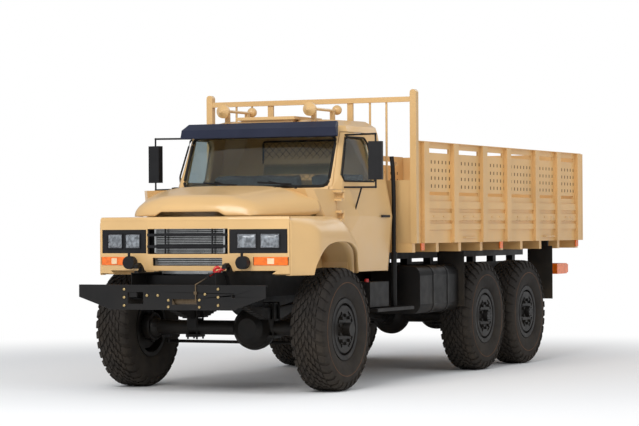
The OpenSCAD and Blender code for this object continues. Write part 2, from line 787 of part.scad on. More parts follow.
module door() {
    color(sand) {
        difference() {
            union() {
                intersection() {
                    cab_wall();
                    through_side(0) door_outline(0);
                }
                for (z = door_hinge_z) translate([0, 0, z - 24]) {
                    translate([hinge_x, hinge_y, 0]) cylinder(r = 16, h = 48);
                    box([hinge_x - 90, hinge_y - 4, 0], [hinge_x, hinge_y + 26, 48]);
                }
            }
            through_side(0) window_outline(0);
            for (z = door_hinge_z) translate([hinge_x, hinge_y, z - 60])
                cylinder(r = hinge_r + run_gap, h = 120);
        }
    }
    color(black) x_cyl(980, 1022, -1470, 1600, 10);
    color(black) box([1012, -1560, 1588], [1026, -1380, 1612]);
}

glass_deep = 20;
glass_t = 8;

module glass_skin() {
    difference() {
        cab_form(glass_deep);
        cab_form(glass_deep + glass_t);
    }
}

module door_glass() {
    color(glass, 0.5) intersection() {
        glass_skin();
        through_side(0) window_outline(-seat_fit);
    }
}

// Windscreen and rear window, each seated in its opening
module cab_glass() {
    color(glass, 0.5) intersection() {
        glass_skin();
        union() {
            screen_opening(-seat_fit);
            rear_opening(-seat_fit);
        }
    }
}

// Front fenders
fascia_y = -3470;
fender_half = 970;
flare_half = 1130;

module rib(points, y) {
    front_plate(points, y, y + 1);
}

// The left fender's outer form, shrunk by t
module fender_form(t) {
    low = t > 0 ? 900 : 1075;
    inboard = t > 0 ? 500 : 560;
    hull() {
        rib([[inboard, low], [inboard, 1590 - t], [900, 1590 - t], [fender_half - t, 1560 - t],
            [fender_half - t, low]],
            t > 0 ? fascia_y - 20 : fascia_y);
        rib([[inboard, low], [inboard, 1598 - t], [950, 1596 - t], [1010 - t, 1570 - t], [1080 - t, 1500 - t],
            [flare_half - t, 1400 - t], [flare_half - t, low]], front_axle_y - 470);
        rib([[inboard, low], [inboard, 1598 - t], [960, 1596 - t], [1010 - t, 1560 - t], [1080 - t, 1480 - t],
            [flare_half - t, 1380 - t], [flare_half - t, low]], front_axle_y + 180 - t);
        rib([[inboard, low], [inboard, 1400 - t], [1000, 1390 - t], [1050 - t, 1340 - t],
            [1090 - t, 1260 - t],
            [1090 - t, low]], front_axle_y + 420 - t);
        rib([[inboard, low], [inboard, 1250 - t], [1020 - t, 1240 - t],
            [1040 - t, low]], front_axle_y + 520 - t);
    }
}

fender_t = 10;

// What the bonnet covers, grown by g, as seen from above
module bonnet_plan(g) {
    polygon([[0, -3572 - g], [360, -3547 - g], [620 + g, -3452 - g], [930 + g, -2728 + g], [930 + g, -2600],
        [-930 - g, -2600], [-930 - g, -2728 + g], [-620 - g, -3452 - g], [-360, -3547 - g]]);
}

module fender() {
    difference() {
        union() {
            difference() {
                fender_form(0);
                fender_form(fender_t);
                translate([0, 0, 1400]) linear_extrude(300) bonnet_plan(panel_gap);
            }
            intersection() {
                fender_form(0.5);
                difference() {
                    translate([well_x, 0, 0]) rotate([90, 0, 90]) linear_extrude(500) arch_outline(liner_t);
                    translate([0, 0, 850]) linear_extrude(225) square([2000, 9000], center = true);
                }
            }
        }
        translate([well_x - 1, 0, 0]) rotate([90, 0, 90]) linear_extrude(600) arch_outline(0);
        cab_form(-seat_fit);
        box([-2000, -4000, 800], [2000, -1000, 1010]);
    }
}

module fenders() {
    color(sand) {
        fender();
        mirror([1, 0, 0]) fender();
    }
}

// Bonnet, hinged at the cowl
bonnet_t = 25;

module bonnet_level(z, front, shoulder, half, y_front, y_shoulder, y_back, t) {
    translate([0, 0, z]) linear_extrude(1) polygon([[0, y_front + t], [front, y_front + 25 + t],
        [shoulder - t, y_shoulder + t], [half - t, y_back - t], [-half + t, y_back - t],
        [-shoulder + t, y_shoulder + t], [-front, y_front + 25 + t]]);
}

module bonnet_form(t) {
    hull() {
        bonnet_level(t > 0 ? 1590 : 1603, 360, 620, 928, -3570, -3450, t > 0 ? -2728 : -2736, t);
        bonnet_level(1690 - t / 2, 350, 590, 912, -3520, -3420, -2785, t);
        bonnet_level(1745 - t, 330, 470, 900, -3420, -3340, -2816, t);
        translate([0, 0, 1850 - t]) linear_extrude(1) polygon([[-700, -2873 - t], [700, -2873 - t],
            [640, -2975], [-640, -2975]]);
        translate([0, 0, 1882 - t]) linear_extrude(1) polygon([[-420, -2892 - t], [420, -2892 - t],
            [380, -2940], [-380, -2940]]);
    }
}

module bonnet() {
    color(sand) difference() {
        union() {
            difference() {
                bonnet_form(0);
                bonnet_form(bonnet_t);
                front_plate([[-360, 1600], [360, 1600], [260, 1642], [-260, 1642]], -3600, -3380);
            }
            for (x = [-bonnet_hinge_x, bonnet_hinge_x]) {
                box([x - 20, bonnet_hinge_y - 38, bonnet_hinge_z - 18],
                    [x + 20, bonnet_hinge_y, bonnet_hinge_z]);
                x_cyl(x - 20, x + 20, bonnet_hinge_y, bonnet_hinge_z, 11);
            }
        }
        for (x = [-bonnet_hinge_x, bonnet_hinge_x])
            x_cyl(x - 21, x + 21, bonnet_hinge_y, bonnet_hinge_z, 6 + run_gap);
        difference() {
            box([-1000, bonnet_hinge_y, 1580], [1000, bonnet_hinge_y + 140, 1660]);
            x_cyl(-1001, 1001, bonnet_hinge_y, bonnet_hinge_z, bonnet_hinge_z - 1610);
        }
    }
}

// Fascia: the bowed nose panel with openings for lamps and grille
lamp_low = 1262;
lamp_high = 1489;
nose_low = 1083;
nose_high = 1595;
grille_half = 411;

module nose_plan() {
    polygon([[0, -3605], [grille_half, -3585], [fender_half - 40, fascia_y - 8], [fender_half, fascia_y - 1],
        [-fender_half, fascia_y - 1], [-fender_half + 40, fascia_y - 8], [-grille_half, -3585]]);
}

module fascia() {
    color(sand) difference() {
        union() {
            translate([0, 0, nose_low]) linear_extrude(nose_high - nose_low - 15) nose_plan();
            translate([0, 0, nose_high - 16]) linear_extrude(16) polygon([[0, -3587], [grille_half, -3567],
                [900, fascia_y - 12], [900, fascia_y - 1], [-900, fascia_y - 1], [-900, fascia_y - 12],
                [-grille_half, -3567]]);
        }
        translate([0, 0, nose_low - 1]) linear_extrude(nose_high - nose_low - 9)
            polygon([[0, -3593], [grille_half, -3573], [900, fascia_y - 4], [900, fascia_y + 50],
                [-900, fascia_y + 50], [-900, fascia_y - 4], [-grille_half, -3573]]);
        box([-grille_half, -3700, lamp_low], [grille_half, fascia_y + 20, lamp_high]);
        box([-356, -3700, 1156], [356, fascia_y + 20, 1228]);
        front_plate([[-700, 1000], [700, 1000], [850, 1112], [-850, 1112]], -3700, fascia_y + 20);
        both() box([grille_half + 14, -3700, lamp_low + 6], [950, fascia_y + 20, lamp_high - 6]);
        both() box([639, -3700, 1160], [961, fascia_y + 20, 1234]);
    }
    color(black) for (z = [1330, 1434]) box([-grille_half, -3590, z - 12], [grille_half, -3574, z + 12]);
    color(black) for (x = [-411, -240, 240, 399]) box([x, -3574, 1262], [x + 12, -3562, lamp_high]);
    color(sand) both() box([rail_in, fascia_y - 108, rail_top], [rail_out, fascia_y - 12, rail_top + 56]);
}

// Where the nose panel's face is, x from the centre
function nose_y(x) = -3585 + (abs(x) - grille_half) * (3585 + fascia_y - 8)
    / (fender_half - 40 - grille_half);
nose_turn = atan2(3585 + fascia_y - 8, fender_half - 40 - grille_half);

// Places a lamp unit drawn with its face on y = 0 at x on the nose panel
module on_nose(x, z) {
    translate([x, nose_y(x), z]) rotate([0, 0, nose_turn]) children();
}

// Paired rectangular lamps in a dark bezel panel on each side
module headlamps() {
    bezel_mid = (grille_half + 14 + 950) / 2;
    bezel_z = (lamp_low + lamp_high) / 2;
    bezel_tall = (lamp_high - lamp_low) / 2 - 6 - seat_fit;
    color("#1b1b1b") both() on_nose(bezel_mid, bezel_z) difference() {
        box([-262, 0, -bezel_tall], [262, 14, bezel_tall]);
        for (x = [-108, 106]) box([x - 88, -1, -62], [x + 88, 6, 64]);
    }
    color("#d8dde0") both() on_nose(bezel_mid, bezel_z) for (x = [-108, 106]) {
        box([x - 84, -4, -58], [x + 84, 6, 60]);
        box([x - 70, 14, -50], [x + 70, 60, 50]);
    }
}

// Turn signals in the nose, covered driving lamps under them and side markers
module signal_lamps() {
    color("#e8761e") both() on_nose(800, 1197) box([-155, -5, -37 + seat_fit], [155, 20, 37 - seat_fit]);
    color(black) both() {
        translate([576, -3650, 1185]) rotate([-90, 0, 0]) cylinder(r = 58, h = 70);
        box([566, -3640, 1185], [586, -3625, 1270]);
        translate([576, -3650, 1185]) rotate([-90, 0, 0]) cylinder(r = 14, h = 96.5);
    }
    color("#c8501e") both() for (y = [bed_front + 40, mid_axle_y + 560, bed_back - 60])
        box([bed_half - 48, y - 42, bed_z - 72], [bed_half - 36, y + 42, bed_z]);
}

// Seats: driver's on the left and a double bench on the right
module seat(x0, x1) {
    box([x0, -2020, 1360], [x1, -1540, 1490]);
    box([x0 + 30, -1980, 1140], [x1 - 30, -1580, 1360]);
    side_plate([[-1560, 1490], [-1450, 1490], [-1340, 2010], [-1430, 2010]], x0, x1);
    box([x0, -1540, 1400], [x1, -1450, 1490]);
}

module seats() {
    color("#7a7f86") {
        seat(260, 780);
        seat(-800, 120);
    }
}

module dashboard() {
    color("#55585c") difference() {
        side_plate([[-2560, 1560], [-2330, 1500], [-2250, 1600], [-2260, 1740], [-2380, 1786], [-2490, 1786],
            [-2560, 1750]], -860, 860);
        box([-doghouse_half - 21, -2700, 1400], [doghouse_half + 21, -2200, doghouse_z + 20.5]);
    }
    color("#55585c") difference() {
        box([-845, -2654.5, 1500], [845, -2560, 1740]);
        box([-doghouse_half - 21, -2780, 1400], [doghouse_half + 21, -2200, doghouse_z + 20.5]);
    }
}

wheel_x = 500;
steer_ring_y = -1955;
steer_ring_z = 1780;

module steering_wheel() {
    color(black) difference() {
        translate([wheel_x, steer_ring_y, steer_ring_z]) rotate([-25, 0, 0]) {
            rotate_extrude() translate([225, 0]) circle(r = 14, $fn = 24);
            for (a = [90, 210, 330]) rotate([0, 0, a]) translate([0, -12, -30]) rotate([0, -8, 0])
                cube([226, 24, 12]);
            translate([0, 0, -60]) cylinder(r = 45, h = 55);
            translate([0, 0, -760]) cylinder(r = 22, h = 720);
        }
        box([wheel_x - 100, -2700, 1000], [wheel_x + 100, -2000, sill_top + seat_fit]);
    }
}

// Two wipers parked along the bottom of the windscreen
module wipers() {
    color(black) for (x = [-95, 483]) {
        translate([x, -2345, belt_z + seat_fit]) cylinder(r = 13, h = 34);
        rod([x, -2345, 1872], [x - 300, -2309, 1935], 6);
        rod([x - 60, -2313, 1903], [x - 420, -2307, 1925], 8.5);
        rod([x - 296, -2309.5, 1935], [x - 296, -2309, 1917], 4.5);
    }
}

// Sun visor across the top of the windscreen
module visor() {
    color("#323750") difference() {
        hull() {
            front_plate([[-835, 2375], [835, 2350], [832, 2380], [-832, 2400]], -2170, -2160);
            front_plate([[-800, 2490], [800, 2490], [790, 2500], [-790, 2500]], -2090, -2070);
            front_plate([[-835, 2360], [835, 2360], [820, 2440], [-820, 2440]], -2185, -2150);
        }
        translate([0, 14, -8]) hull() {
            front_plate([[-829, 2300], [829, 2300], [826, 2380], [-826, 2400]], -2170, -2160);
            front_plate([[-794, 2480], [794, 2480], [784, 2494], [-784, 2494]], -2085, -2040);
            front_plate([[-829, 2300], [829, 2300], [814, 2440], [-814, 2440]], -2185, -2150);
        }
    }
    color(black) difference() {
        for (x = [-609, -5, 599]) box([x, -2118, 2440], [x + 10, -2020, 2480]);
        cab_form(0);
    }
}

trumpet_x = 465;

// A pair of roof horns on feet
module roof_trumpets() {
    color(sand) both() {
        y_cyl(-2005, -1975, trumpet_x, 2624, 66);
        translate([trumpet_x, -2005, 2624]) rotate([90, 0, 0]) cylinder(r1 = 64, r2 = 12, h = 45);
        translate([trumpet_x, -1975, 2624]) rotate([-90, 0, 0]) cylinder(r1 = 60, r2 = 18, h = 70);
        y_cyl(-1910, -1400, trumpet_x, 2630, 14);
        translate([trumpet_x, -1376, 2640]) sphere(r = 48);
        difference() {
            for (y = [-1900, -1480]) box([trumpet_x - 20, y - 20, roof_z - 45],
                [trumpet_x + 20, y + 20, 2620]);
            cab_form(0);
        }
    }
}

hatch_z = roof_z + seat_fit;
hatch_hinge_y = hatch_y + hatch_half + 32;

module roof_hatch() {
    color(sand) difference() {
        union() {
            box([-hatch_half - 20, hatch_y - hatch_half - 20, hatch_z],
                [hatch_half + 20, hatch_y + hatch_half + 20, hatch_z + 30]);
            for (x = [-hatch_hinge_x, hatch_hinge_x]) {
                box([x - 18, hatch_hinge_y - 20, hatch_hinge_z - 5],
                    [x + 18, hatch_hinge_y, hatch_hinge_z + 5]);
                x_cyl(x - 18, x + 18, hatch_hinge_y, hatch_hinge_z, 9);
            }
            box([-hatch_half + 12, hatch_y - hatch_half + 12, hatch_z - 30],
                [hatch_half - 12, hatch_y + hatch_half - 12, hatch_z + 1]);
        }
        box([-hatch_half + 22, hatch_y - hatch_half + 22, hatch_z - 31],
            [hatch_half - 22, hatch_y + hatch_half - 22, hatch_z]);
        for (x = [-hatch_hinge_x, hatch_hinge_x])
            x_cyl(x - 19, x + 19, hatch_hinge_y, hatch_hinge_z, 5 + run_gap);
    }
}

mirror_x = 1180;
mirror_y = -2060;
mirror_z = 2120;

// Left mirror with its tube frame, carried by the door
module mirror_arm() {
    color(black) difference() {
        union() {
            translate([mirror_x, mirror_y, mirror_z]) rotate([0, 0, 12]) box([-66, -30, -180], [66, 30, 180]);
            rod([mirror_x, mirror_y, mirror_z + 250], [820, -1960, mirror_z + 250], 9);
            rod([mirror_x, mirror_y, mirror_z - 250], [910, -2190, mirror_z - 250], 9);
            for (z = [-250, 250]) translate([mirror_x, mirror_y, mirror_z + z]) sphere(r = 11);
            rod([mirror_x, mirror_y, mirror_z - 250], [mirror_x, mirror_y, mirror_z + 250], 8.5);
            rod([1060, -2118, mirror_z - 250], [970, -2080, 1640], 8);
        }
        cab_form(0);
    }
}

// Load bed
bearer_z = 1245;
floor_t = 35;
bed_nose = -1045;
post_share = [0, 0.17, 0.345, 0.499, 0.691, 0.846, 1];
panel_in = bed_half - 40;
panel_t = 18;
floor_half = panel_in - panel_t;
first_post = bed_front + post_w / 2;
last_post = bed_back - post_w / 2;
gate_y = bed_back + 6;
gate_hinge_y = gate_y + 26;
gate_hinge_z = bed_z - 22;
gate_barrel_r = 12;
gate_pin_r = 8;
gate_hinge_x = [-820, 0, 820];

function post_y(k) = first_post + post_share[k] * (last_post - first_post);

module bed_floor() {
    color(bed_sand) {
        box([-floor_half, post_y0 + 65 + seat_fit, bed_z], [floor_half, bed_back, bed_z + floor_t]);
        for (y = [bed_nose + 45 : 600 : bed_back - 200]) box([-1110, y - 35, bearer_z],
            [1110, y + 35, bed_z]);
        box([-1110, bed_back - 80, bearer_z], [1110, bed_back, bed_z]);
    }
    color(black) both() box([rail_in, bed_nose, sill_z], [rail_out, bed_back, bearer_z]);
    color(black) for (x = gate_hinge_x) {
        for (dx = [-42, 22]) {
            x_cyl(x + dx, x + dx + 20, gate_hinge_y, gate_hinge_z, gate_barrel_r);
            box([x + dx, bed_back - 1, gate_hinge_z - 12], [x + dx + 20, gate_hinge_y, gate_hinge_z + 8]);
        }
        x_cyl(x - 42, x + 42, gate_hinge_y, gate_hinge_z, gate_pin_r);
    }
}

upper_slot = [898, 943];
lower_slot = [476, 510];

// One side board: panels between posts, each with two slots through it
module bed_side() {
    difference() {
        box([panel_in - panel_t, bed_front - 120, bed_z], [panel_in, bed_back, bed_z + side_h]);
        for (k = [0:5]) for (slot = [upper_slot, lower_slot])
            box([panel_in - 60, post_y(k) + post_w / 2 + 45, bed_z + slot[0]],
                [panel_in + 20, post_y(k + 1) - post_w / 2 - 45, bed_z + slot[1]]);
    }
    for (k = [0:6]) box([panel_in, post_y(k) - post_w / 2, bed_z], [bed_half, post_y(k)
        + post_w / 2, bed_z + side_h]);
    box([panel_in - panel_t, bed_front - 120, bed_z + side_h], [bed_half - 6, bed_back, bed_z + side_h + 6]);
    for (k = [0:5]) for (rib = [[343, 418], [225, 302], [132, 192]])
        box([panel_in, post_y(k) + post_w / 2, bed_z + rib[0]], [panel_in + 16, post_y(k + 1)
            - post_w / 2, bed_z + rib[1]]);
}

module bed_sides() {
    color(bed_sand) both() bed_side();
}

post_y0 = bed_nose + 5;
board_z0 = 1397;
board_z1 = 1955;

// Headboard with the rack over the cab
module headboard() {
    color(sand) {
        both() {
            box([rack_x - rack_w / 2, post_y0, bed_z + seat_fit],
                [rack_x + rack_w / 2, post_y0 + 65, rack_z + 60]);
            translate([rack_x, post_y0, rack_z + 60]) rotate([-90, 0, 0]) cylinder(r = rack_w / 2, h = 65);
            for (x = [653, 830]) translate([x, post_y0 + 32, board_z1 - 1])
                cylinder(r = 11, h = rack_z - board_z1 - 20);
            box([410, post_y0 + 20, board_z1 - 1], [470, post_y0 + 44, rack_z - 20]);
        }
        box([-rack_x, post_y0 + 4, rack_z - 28], [rack_x, post_y0 + 54, rack_z + 22]);
        box([-rack_x, post_y0 + 14, bed_z + seat_fit], [rack_x, post_y0 + 50, board_z1]);
    }
}

// Upright pipe in the gap between cab and bed, standing on the step
module intake_pipe() {
    color(black) translate([950, -1122, 722]) cylinder(r = 36, h = 1463);
}

// Tailgate, hinged along its lower edge
module tailgate() {
    color(bed_sand) {
        difference() {
            union() {
                box([-bed_half, gate_y, bed_z], [bed_half, gate_y + panel_t + 6, bed_z + side_h]);
                for (x = [-bed_half, -620, -60, 500, bed_half - 120])
                    box([x, gate_y, bed_z], [x + 120, gate_y + board_t, bed_z + side_h]);
                for (z = [0, 200, 420, side_h - 50])
                    box([-bed_half, gate_y, bed_z + z], [bed_half, gate_y + board_t - 8, bed_z + z + 50]);
                for (x = gate_hinge_x) {
                    x_cyl(x - 16, x + 16, gate_hinge_y, gate_hinge_z, gate_barrel_r);
                    box([x - 16, gate_hinge_y - gate_barrel_r, gate_hinge_z],
                        [x + 16, gate_hinge_y + gate_barrel_r - 2, bed_z + 8]);
                }
            }
            for (x = gate_hinge_x) x_cyl(x - 17, x + 17, gate_hinge_y, gate_hinge_z, gate_pin_r + run_gap);
        }
    }
}

frame_rails();
front_bumper();
tow_hooks();
winch();
engine();
gearbox();
prop_shafts();
front_springs();
rear_springs();
front_axle();
rear_axles();
radiator();
fuel_tank();
battery_box();
mudflaps();
tail_lamps();
cab_shell();
fenders();
fascia();
headlamps();
signal_lamps();
cab_glass();
seats();
dashboard();
steering_wheel();
wipers();
visor();
roof_trumpets();
bed_floor();
bed_sides();
headboard();
hinges();
intake_pipe();
knuckle();  // knuckle_left
mirror([1, 0, 0]) knuckle();  // knuckle_right
tie_rod();
at_wheel(front_axle_y, 1) tyre();  // tyre_front_left
at_wheel(front_axle_y, -1) tyre();  // tyre_front_right
at_wheel(mid_axle_y, 1) tyre();  // tyre_mid_left
at_wheel(mid_axle_y, -1) tyre();  // tyre_mid_right
at_wheel(rear_axle_y, 1) tyre();  // tyre_rear_left
at_wheel(rear_axle_y, -1) tyre();  // tyre_rear_right
at_wheel(front_axle_y, 1) wheel(212);  // wheel_front_left
at_wheel(front_axle_y, -1) wheel(212);  // wheel_front_right
at_wheel(mid_axle_y, 1) wheel(187);  // wheel_mid_left
at_wheel(mid_axle_y, -1) wheel(187);  // wheel_mid_right
at_wheel(rear_axle_y, 1) wheel(187);  // wheel_rear_left
at_wheel(rear_axle_y, -1) wheel(187);  // wheel_rear_right
door();  // door_left
mirror([1, 0, 0]) door();  // door_right
door_glass();  // door_glass_left
mirror([1, 0, 0]) door_glass();  // door_glass_right
mirror_arm();  // mirror_left
mirror([1, 0, 0]) mirror_arm();  // mirror_right
bonnet();
roof_hatch();
tailgate();
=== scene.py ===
"""Looks of a six-wheel military cargo truck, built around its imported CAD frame.

Every sub-assembly is a class that holds its sizes and builds its own meshes with numpy.
All lengths are metres in the frame of the CAD model: forward is -Y, the left side is +X.
"""

from __future__ import annotations

import json
import logging
import math
from dataclasses import dataclass
from enum import Enum

import bmesh
import bpy
import numpy as np
from mathutils import Matrix, Vector
from numpy.typing import ArrayLike

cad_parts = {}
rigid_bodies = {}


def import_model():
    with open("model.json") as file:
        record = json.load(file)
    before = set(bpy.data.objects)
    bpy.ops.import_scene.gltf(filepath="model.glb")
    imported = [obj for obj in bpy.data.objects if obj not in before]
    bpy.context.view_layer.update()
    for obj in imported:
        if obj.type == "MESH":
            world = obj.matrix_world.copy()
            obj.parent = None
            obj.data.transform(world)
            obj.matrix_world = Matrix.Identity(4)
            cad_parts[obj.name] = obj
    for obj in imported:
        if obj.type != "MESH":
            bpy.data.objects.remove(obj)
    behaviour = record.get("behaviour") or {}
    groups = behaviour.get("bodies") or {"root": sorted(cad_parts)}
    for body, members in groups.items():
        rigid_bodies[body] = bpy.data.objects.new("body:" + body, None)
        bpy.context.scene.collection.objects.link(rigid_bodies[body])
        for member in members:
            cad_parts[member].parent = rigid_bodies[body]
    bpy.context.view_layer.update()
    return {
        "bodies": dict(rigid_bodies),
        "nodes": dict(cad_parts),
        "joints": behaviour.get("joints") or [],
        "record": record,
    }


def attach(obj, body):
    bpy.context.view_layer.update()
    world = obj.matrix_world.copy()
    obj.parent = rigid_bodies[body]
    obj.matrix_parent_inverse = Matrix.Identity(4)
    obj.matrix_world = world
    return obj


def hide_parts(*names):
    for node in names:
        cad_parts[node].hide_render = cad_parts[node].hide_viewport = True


Array = np.ndarray
Point = tuple[float, float, float]
LOG = logging.getLogger("truck")


# ---------------------------------------------------------------- mesh tools


@dataclass
class Surface:
    """Vertices and faces that are being gathered into one piece."""

    verts: Array
    faces: list[list[int]]

    @staticmethod
    def joined(parts: list["Surface"]) -> "Surface":
        """Puts several surfaces into one.

        Args:
            parts: The surfaces, in order.

        Returns:
            One surface with all their vertices and faces.
        """
        shift, verts, faces = 0, [], []
        for part in parts:
            verts.append(part.verts)
            faces.extend((np.asarray(f) + shift).tolist() for f in part.faces)
            shift += len(part.verts)
        return Surface(np.concatenate(verts), faces)

    def mirrored(self) -> "Surface":
        """Returns the same surface on the other side of the truck, with its faces still outwards."""
        flipped = [list(reversed(f)) for f in self.faces]
        return Surface(self.verts * np.array([-1.0, 1.0, 1.0]), flipped)

    def both(self) -> "Surface":
        """Returns this surface together with its mirror image."""
        return Surface.joined([self, self.mirrored()])


def turn_outwards(mesh: bpy.types.Mesh, near: float) -> None:
    """Joins vertices that are nearer than a distance and turns every face outwards.

    Args:
        mesh: The mesh of a new piece.
        near: The distance.
    """
    work = bmesh.new()
    work.from_mesh(mesh)
    bmesh.ops.remove_doubles(work, verts=work.verts, dist=near)
    bmesh.ops.dissolve_degenerate(work, dist=near, edges=work.edges)
    bmesh.ops.recalc_face_normals(work, faces=work.faces)
    work.to_mesh(mesh)
    work.free()


def grid(points: Array, wrap_u: bool = False, wrap_v: bool = False) -> Surface:
    """Quads over a grid of points; neighbours in each direction share an edge.

    Args:
        points: Array of shape (u, v, 3).
        wrap_u: Whether the last row joins the first.
        wrap_v: Whether the last column joins the first.

    Returns:
        The surface; its faces point along d/du cross d/dv.
    """
    nu, nv = points.shape[:2]
    index = np.arange(nu * nv).reshape(nu, nv)
    if wrap_u:
        index = np.vstack([index, index[:1]])
    if wrap_v:
        index = np.hstack([index, index[:, :1]])
    quads = np.stack([index[:-1, :-1], index[1:, :-1], index[1:, 1:], index[:-1, 1:]], -1).reshape(-1, 4)
    return Surface(points.reshape(-1, 3), quads.tolist())


def give_wall(obj: bpy.types.Object, thickness: float, offset: float) -> None:
    """Gives an open skin its thickness, inwards at -1 and to both sides at 0."""
    solid = obj.modifiers.new("wall", "SOLIDIFY")
    solid.thickness, solid.offset = thickness, offset


def face_along(obj: bpy.types.Object, way: Point) -> None:
    """Flips the faces of an open skin when they look, on the whole, against a direction."""
    if sum(face.normal.dot(way) * face.area for face in obj.data.polygons) < 0:
        obj.data.flip_normals()


def smooth_curve(points: ArrayLike, steps: int) -> Array:
    """A Catmull-Rom curve through points: each span is the cubic through its ends with central slopes.

    Args:
        points: Array of shape (n, k).
        steps: Samples in each span.

    Returns:
        Array of shape ((n - 1) * steps + 1, k).
    """
    points = np.asarray(points, float)
    p = np.vstack([2 * points[0] - points[1], points, 2 * points[-1] - points[-2]])
    t = np.linspace(0, 1, steps, endpoint=False)[None, :, None]
    a, b, c, d = (p[i:len(p) - 3 + i, None, :] for i in range(4))
    spans = 0.5 * (2 * b + (c - a) * t + (2 * a - 5 * b + 4 * c - d) * t**2 + (3 * b - a - 3 * c + d) * t**3)
    return np.vstack([spans.reshape(-1, points.shape[1]), points[-1:]])


def lengths(line: Array) -> Array:
    """Returns each point's share of the way along a line, from 0 to 1."""
    run = np.concatenate([[0], np.cumsum(np.linalg.norm(np.diff(line, axis=0), axis=1))])
    return run / run[-1]


def around(count: int) -> Array:
    """Returns the angles of evenly spaced points around a circle."""
    return np.linspace(0, 2 * math.pi, count, endpoint=False)


def crowded(count: int, power: float) -> Array:
    """Returns numbers from -1 to 1 that lie closer together towards both ends, by a power over 1."""
    t = np.linspace(-1, 1, count)
    return np.sign(t) * (1 - (1 - np.abs(t)) ** power)


def tube(path: ArrayLike, radius: float, sides: int = 10, closed: bool = False) -> Surface:
    """A round tube: a circle in the plane across the path, carried along it.

    Args:
        path: Array of shape (n, 3).
        radius: Of the tube.
        sides: Faces around it.
        closed: Whether the path is a loop.

    Returns:
        The tube, with closed ends when the path is open.
    """
    path = np.asarray(path, float)
    ahead = np.roll(path, -1, 0) - np.roll(path, 1, 0) if closed else np.gradient(path, axis=0)
    ahead = ahead / np.linalg.norm(ahead, axis=1, keepdims=True)
    ref = np.where(np.abs(ahead[:, 2:3]) < 0.9, np.array([[0.0, 0, 1]]), np.array([[0.0, 1, 0]]))
    side = np.cross(ref, ahead)
    side /= np.linalg.norm(side, axis=1, keepdims=True)
    up = np.cross(ahead, side)
    a = around(sides)[None, :, None]
    ring = path[:, None, :] + radius * (np.cos(a) * side[:, None, :] + np.sin(a) * up[:, None, :])
    skin = grid(ring[:, ::-1], closed, True)
    if not closed:
        n = len(path)
        skin.faces.append(list(range(sides)))
        skin.faces.append(list(range((n - 1) * sides, n * sides)))
    return skin


def boxes(centres: ArrayLike, sizes: ArrayLike) -> Surface:
    """Blocks with edges along the axes.

    Args:
        centres: Array of shape (n, 3).
        sizes: One size for all, or one each.

    Returns:
        All the blocks as one surface.
    """
    centres = np.atleast_2d(np.asarray(centres, float))
    half = np.broadcast_to(np.asarray(sizes, float) / 2, centres.shape)
    corner = np.array([[-1, -1, -1], [1, -1, -1], [1, 1, -1], [-1, 1, -1],
                       [-1, -1, 1], [1, -1, 1], [1, 1, 1], [-1, 1, 1]], float)
    sides = np.array([[0, 3, 2, 1], [4, 5, 6, 7], [0, 1, 5, 4], [1, 2, 6, 5], [2, 3, 7, 6], [3, 0, 4, 7]])
    verts = centres[:, None, :] + corner[None] * half[:, None, :]
    faces = sides[None] + 8 * np.arange(len(centres))[:, None, None]
    return Surface(verts.reshape(-1, 3), faces.reshape(-1, 4).tolist())


def studs(feet: ArrayLike, axis: Point, radius: float, height: float, sides: int = 6) -> Surface:
    """Short prisms with a chamfered head, such as bolts, standing on points.

    Args:
        feet: Array of shape (n, 3), where each stands.
        axis: The direction they stand out in.
        radius: Of the head.
        height: Of the head.
        sides: 6 for a hexagon head, more for a round one.

    Returns:
        All of them as one surface.
    """
    feet = np.atleast_2d(np.asarray(feet, float))
    w = np.array(axis, float) / np.linalg.norm(axis)
    u = np.cross(w, [0.0, 0, 1] if abs(w[2]) < 0.9 else [0.0, 1, 0])
    u /= np.linalg.norm(u)
    v = np.cross(w, u)
    a = around(sides)
    circle = np.cos(a)[:, None] * u + np.sin(a)[:, None] * v
    rings = np.stack([radius * circle, radius * circle + 0.75 * height * w, 0.72 * radius * circle + height * w])
    verts = feet[:, None, None, :] + rings[None]
    index = np.arange(3 * sides).reshape(3, sides)
    after = np.roll(index, -1, 1)
    quads = np.stack([index[:-1], after[:-1], after[1:], index[1:]], -1).reshape(-1, 4)
    shift = 3 * sides * np.arange(len(feet))[:, None]
    faces = (quads + shift[:, None]).reshape(-1, 4).tolist() + (shift + index[2]).tolist()
    return Surface(verts.reshape(-1, 3), faces)


def revolved(profile: ArrayLike, centre: Point, axis_sign: float = 1.0, segments: int = 96) -> Surface:
    """A profile of (x, r) pairs turned about the X axis through a centre.

    Args:
        profile: Array of shape (n, 2): distance along the axis, and radius.
        centre: Of the turned shape.
        axis_sign: -1 to mirror it along the axis.
        segments: Steps around.

    Returns:
        The turned surface.
    """
    a = around(segments)[:, None]
    profile = np.asarray(profile, float)
    x = np.broadcast_to(profile[:, 0], (segments, len(profile))) * axis_sign
    pts = np.stack([x, np.cos(a) * profile[:, 1], np.sin(a) * profile[:, 1]], -1) + np.array(centre)
    return grid(pts if axis_sign > 0 else pts[:, ::-1], wrap_u=True)


# ------------------------------------------------------------------ finishes


class Coat(Enum):
    """How a finish treats light beside its base colour."""

    PAINT = "paint"
    METAL = "metal"
    MATTE = "matte"
    GLASS = "glass"
    LAMP = "lamp"


COAT_INPUTS = {
    Coat.PAINT: {"Coat Weight": 0.2, "Coat Roughness": 0.12},
    Coat.METAL: {"Metallic": 1.0},
    Coat.MATTE: {"Specular IOR Level": 0.22},
    Coat.GLASS: {"Transmission Weight": 1.0, "IOR": 1.45},
    Coat.LAMP: {"Transmission Weight": 0.55, "IOR": 1.49},
}


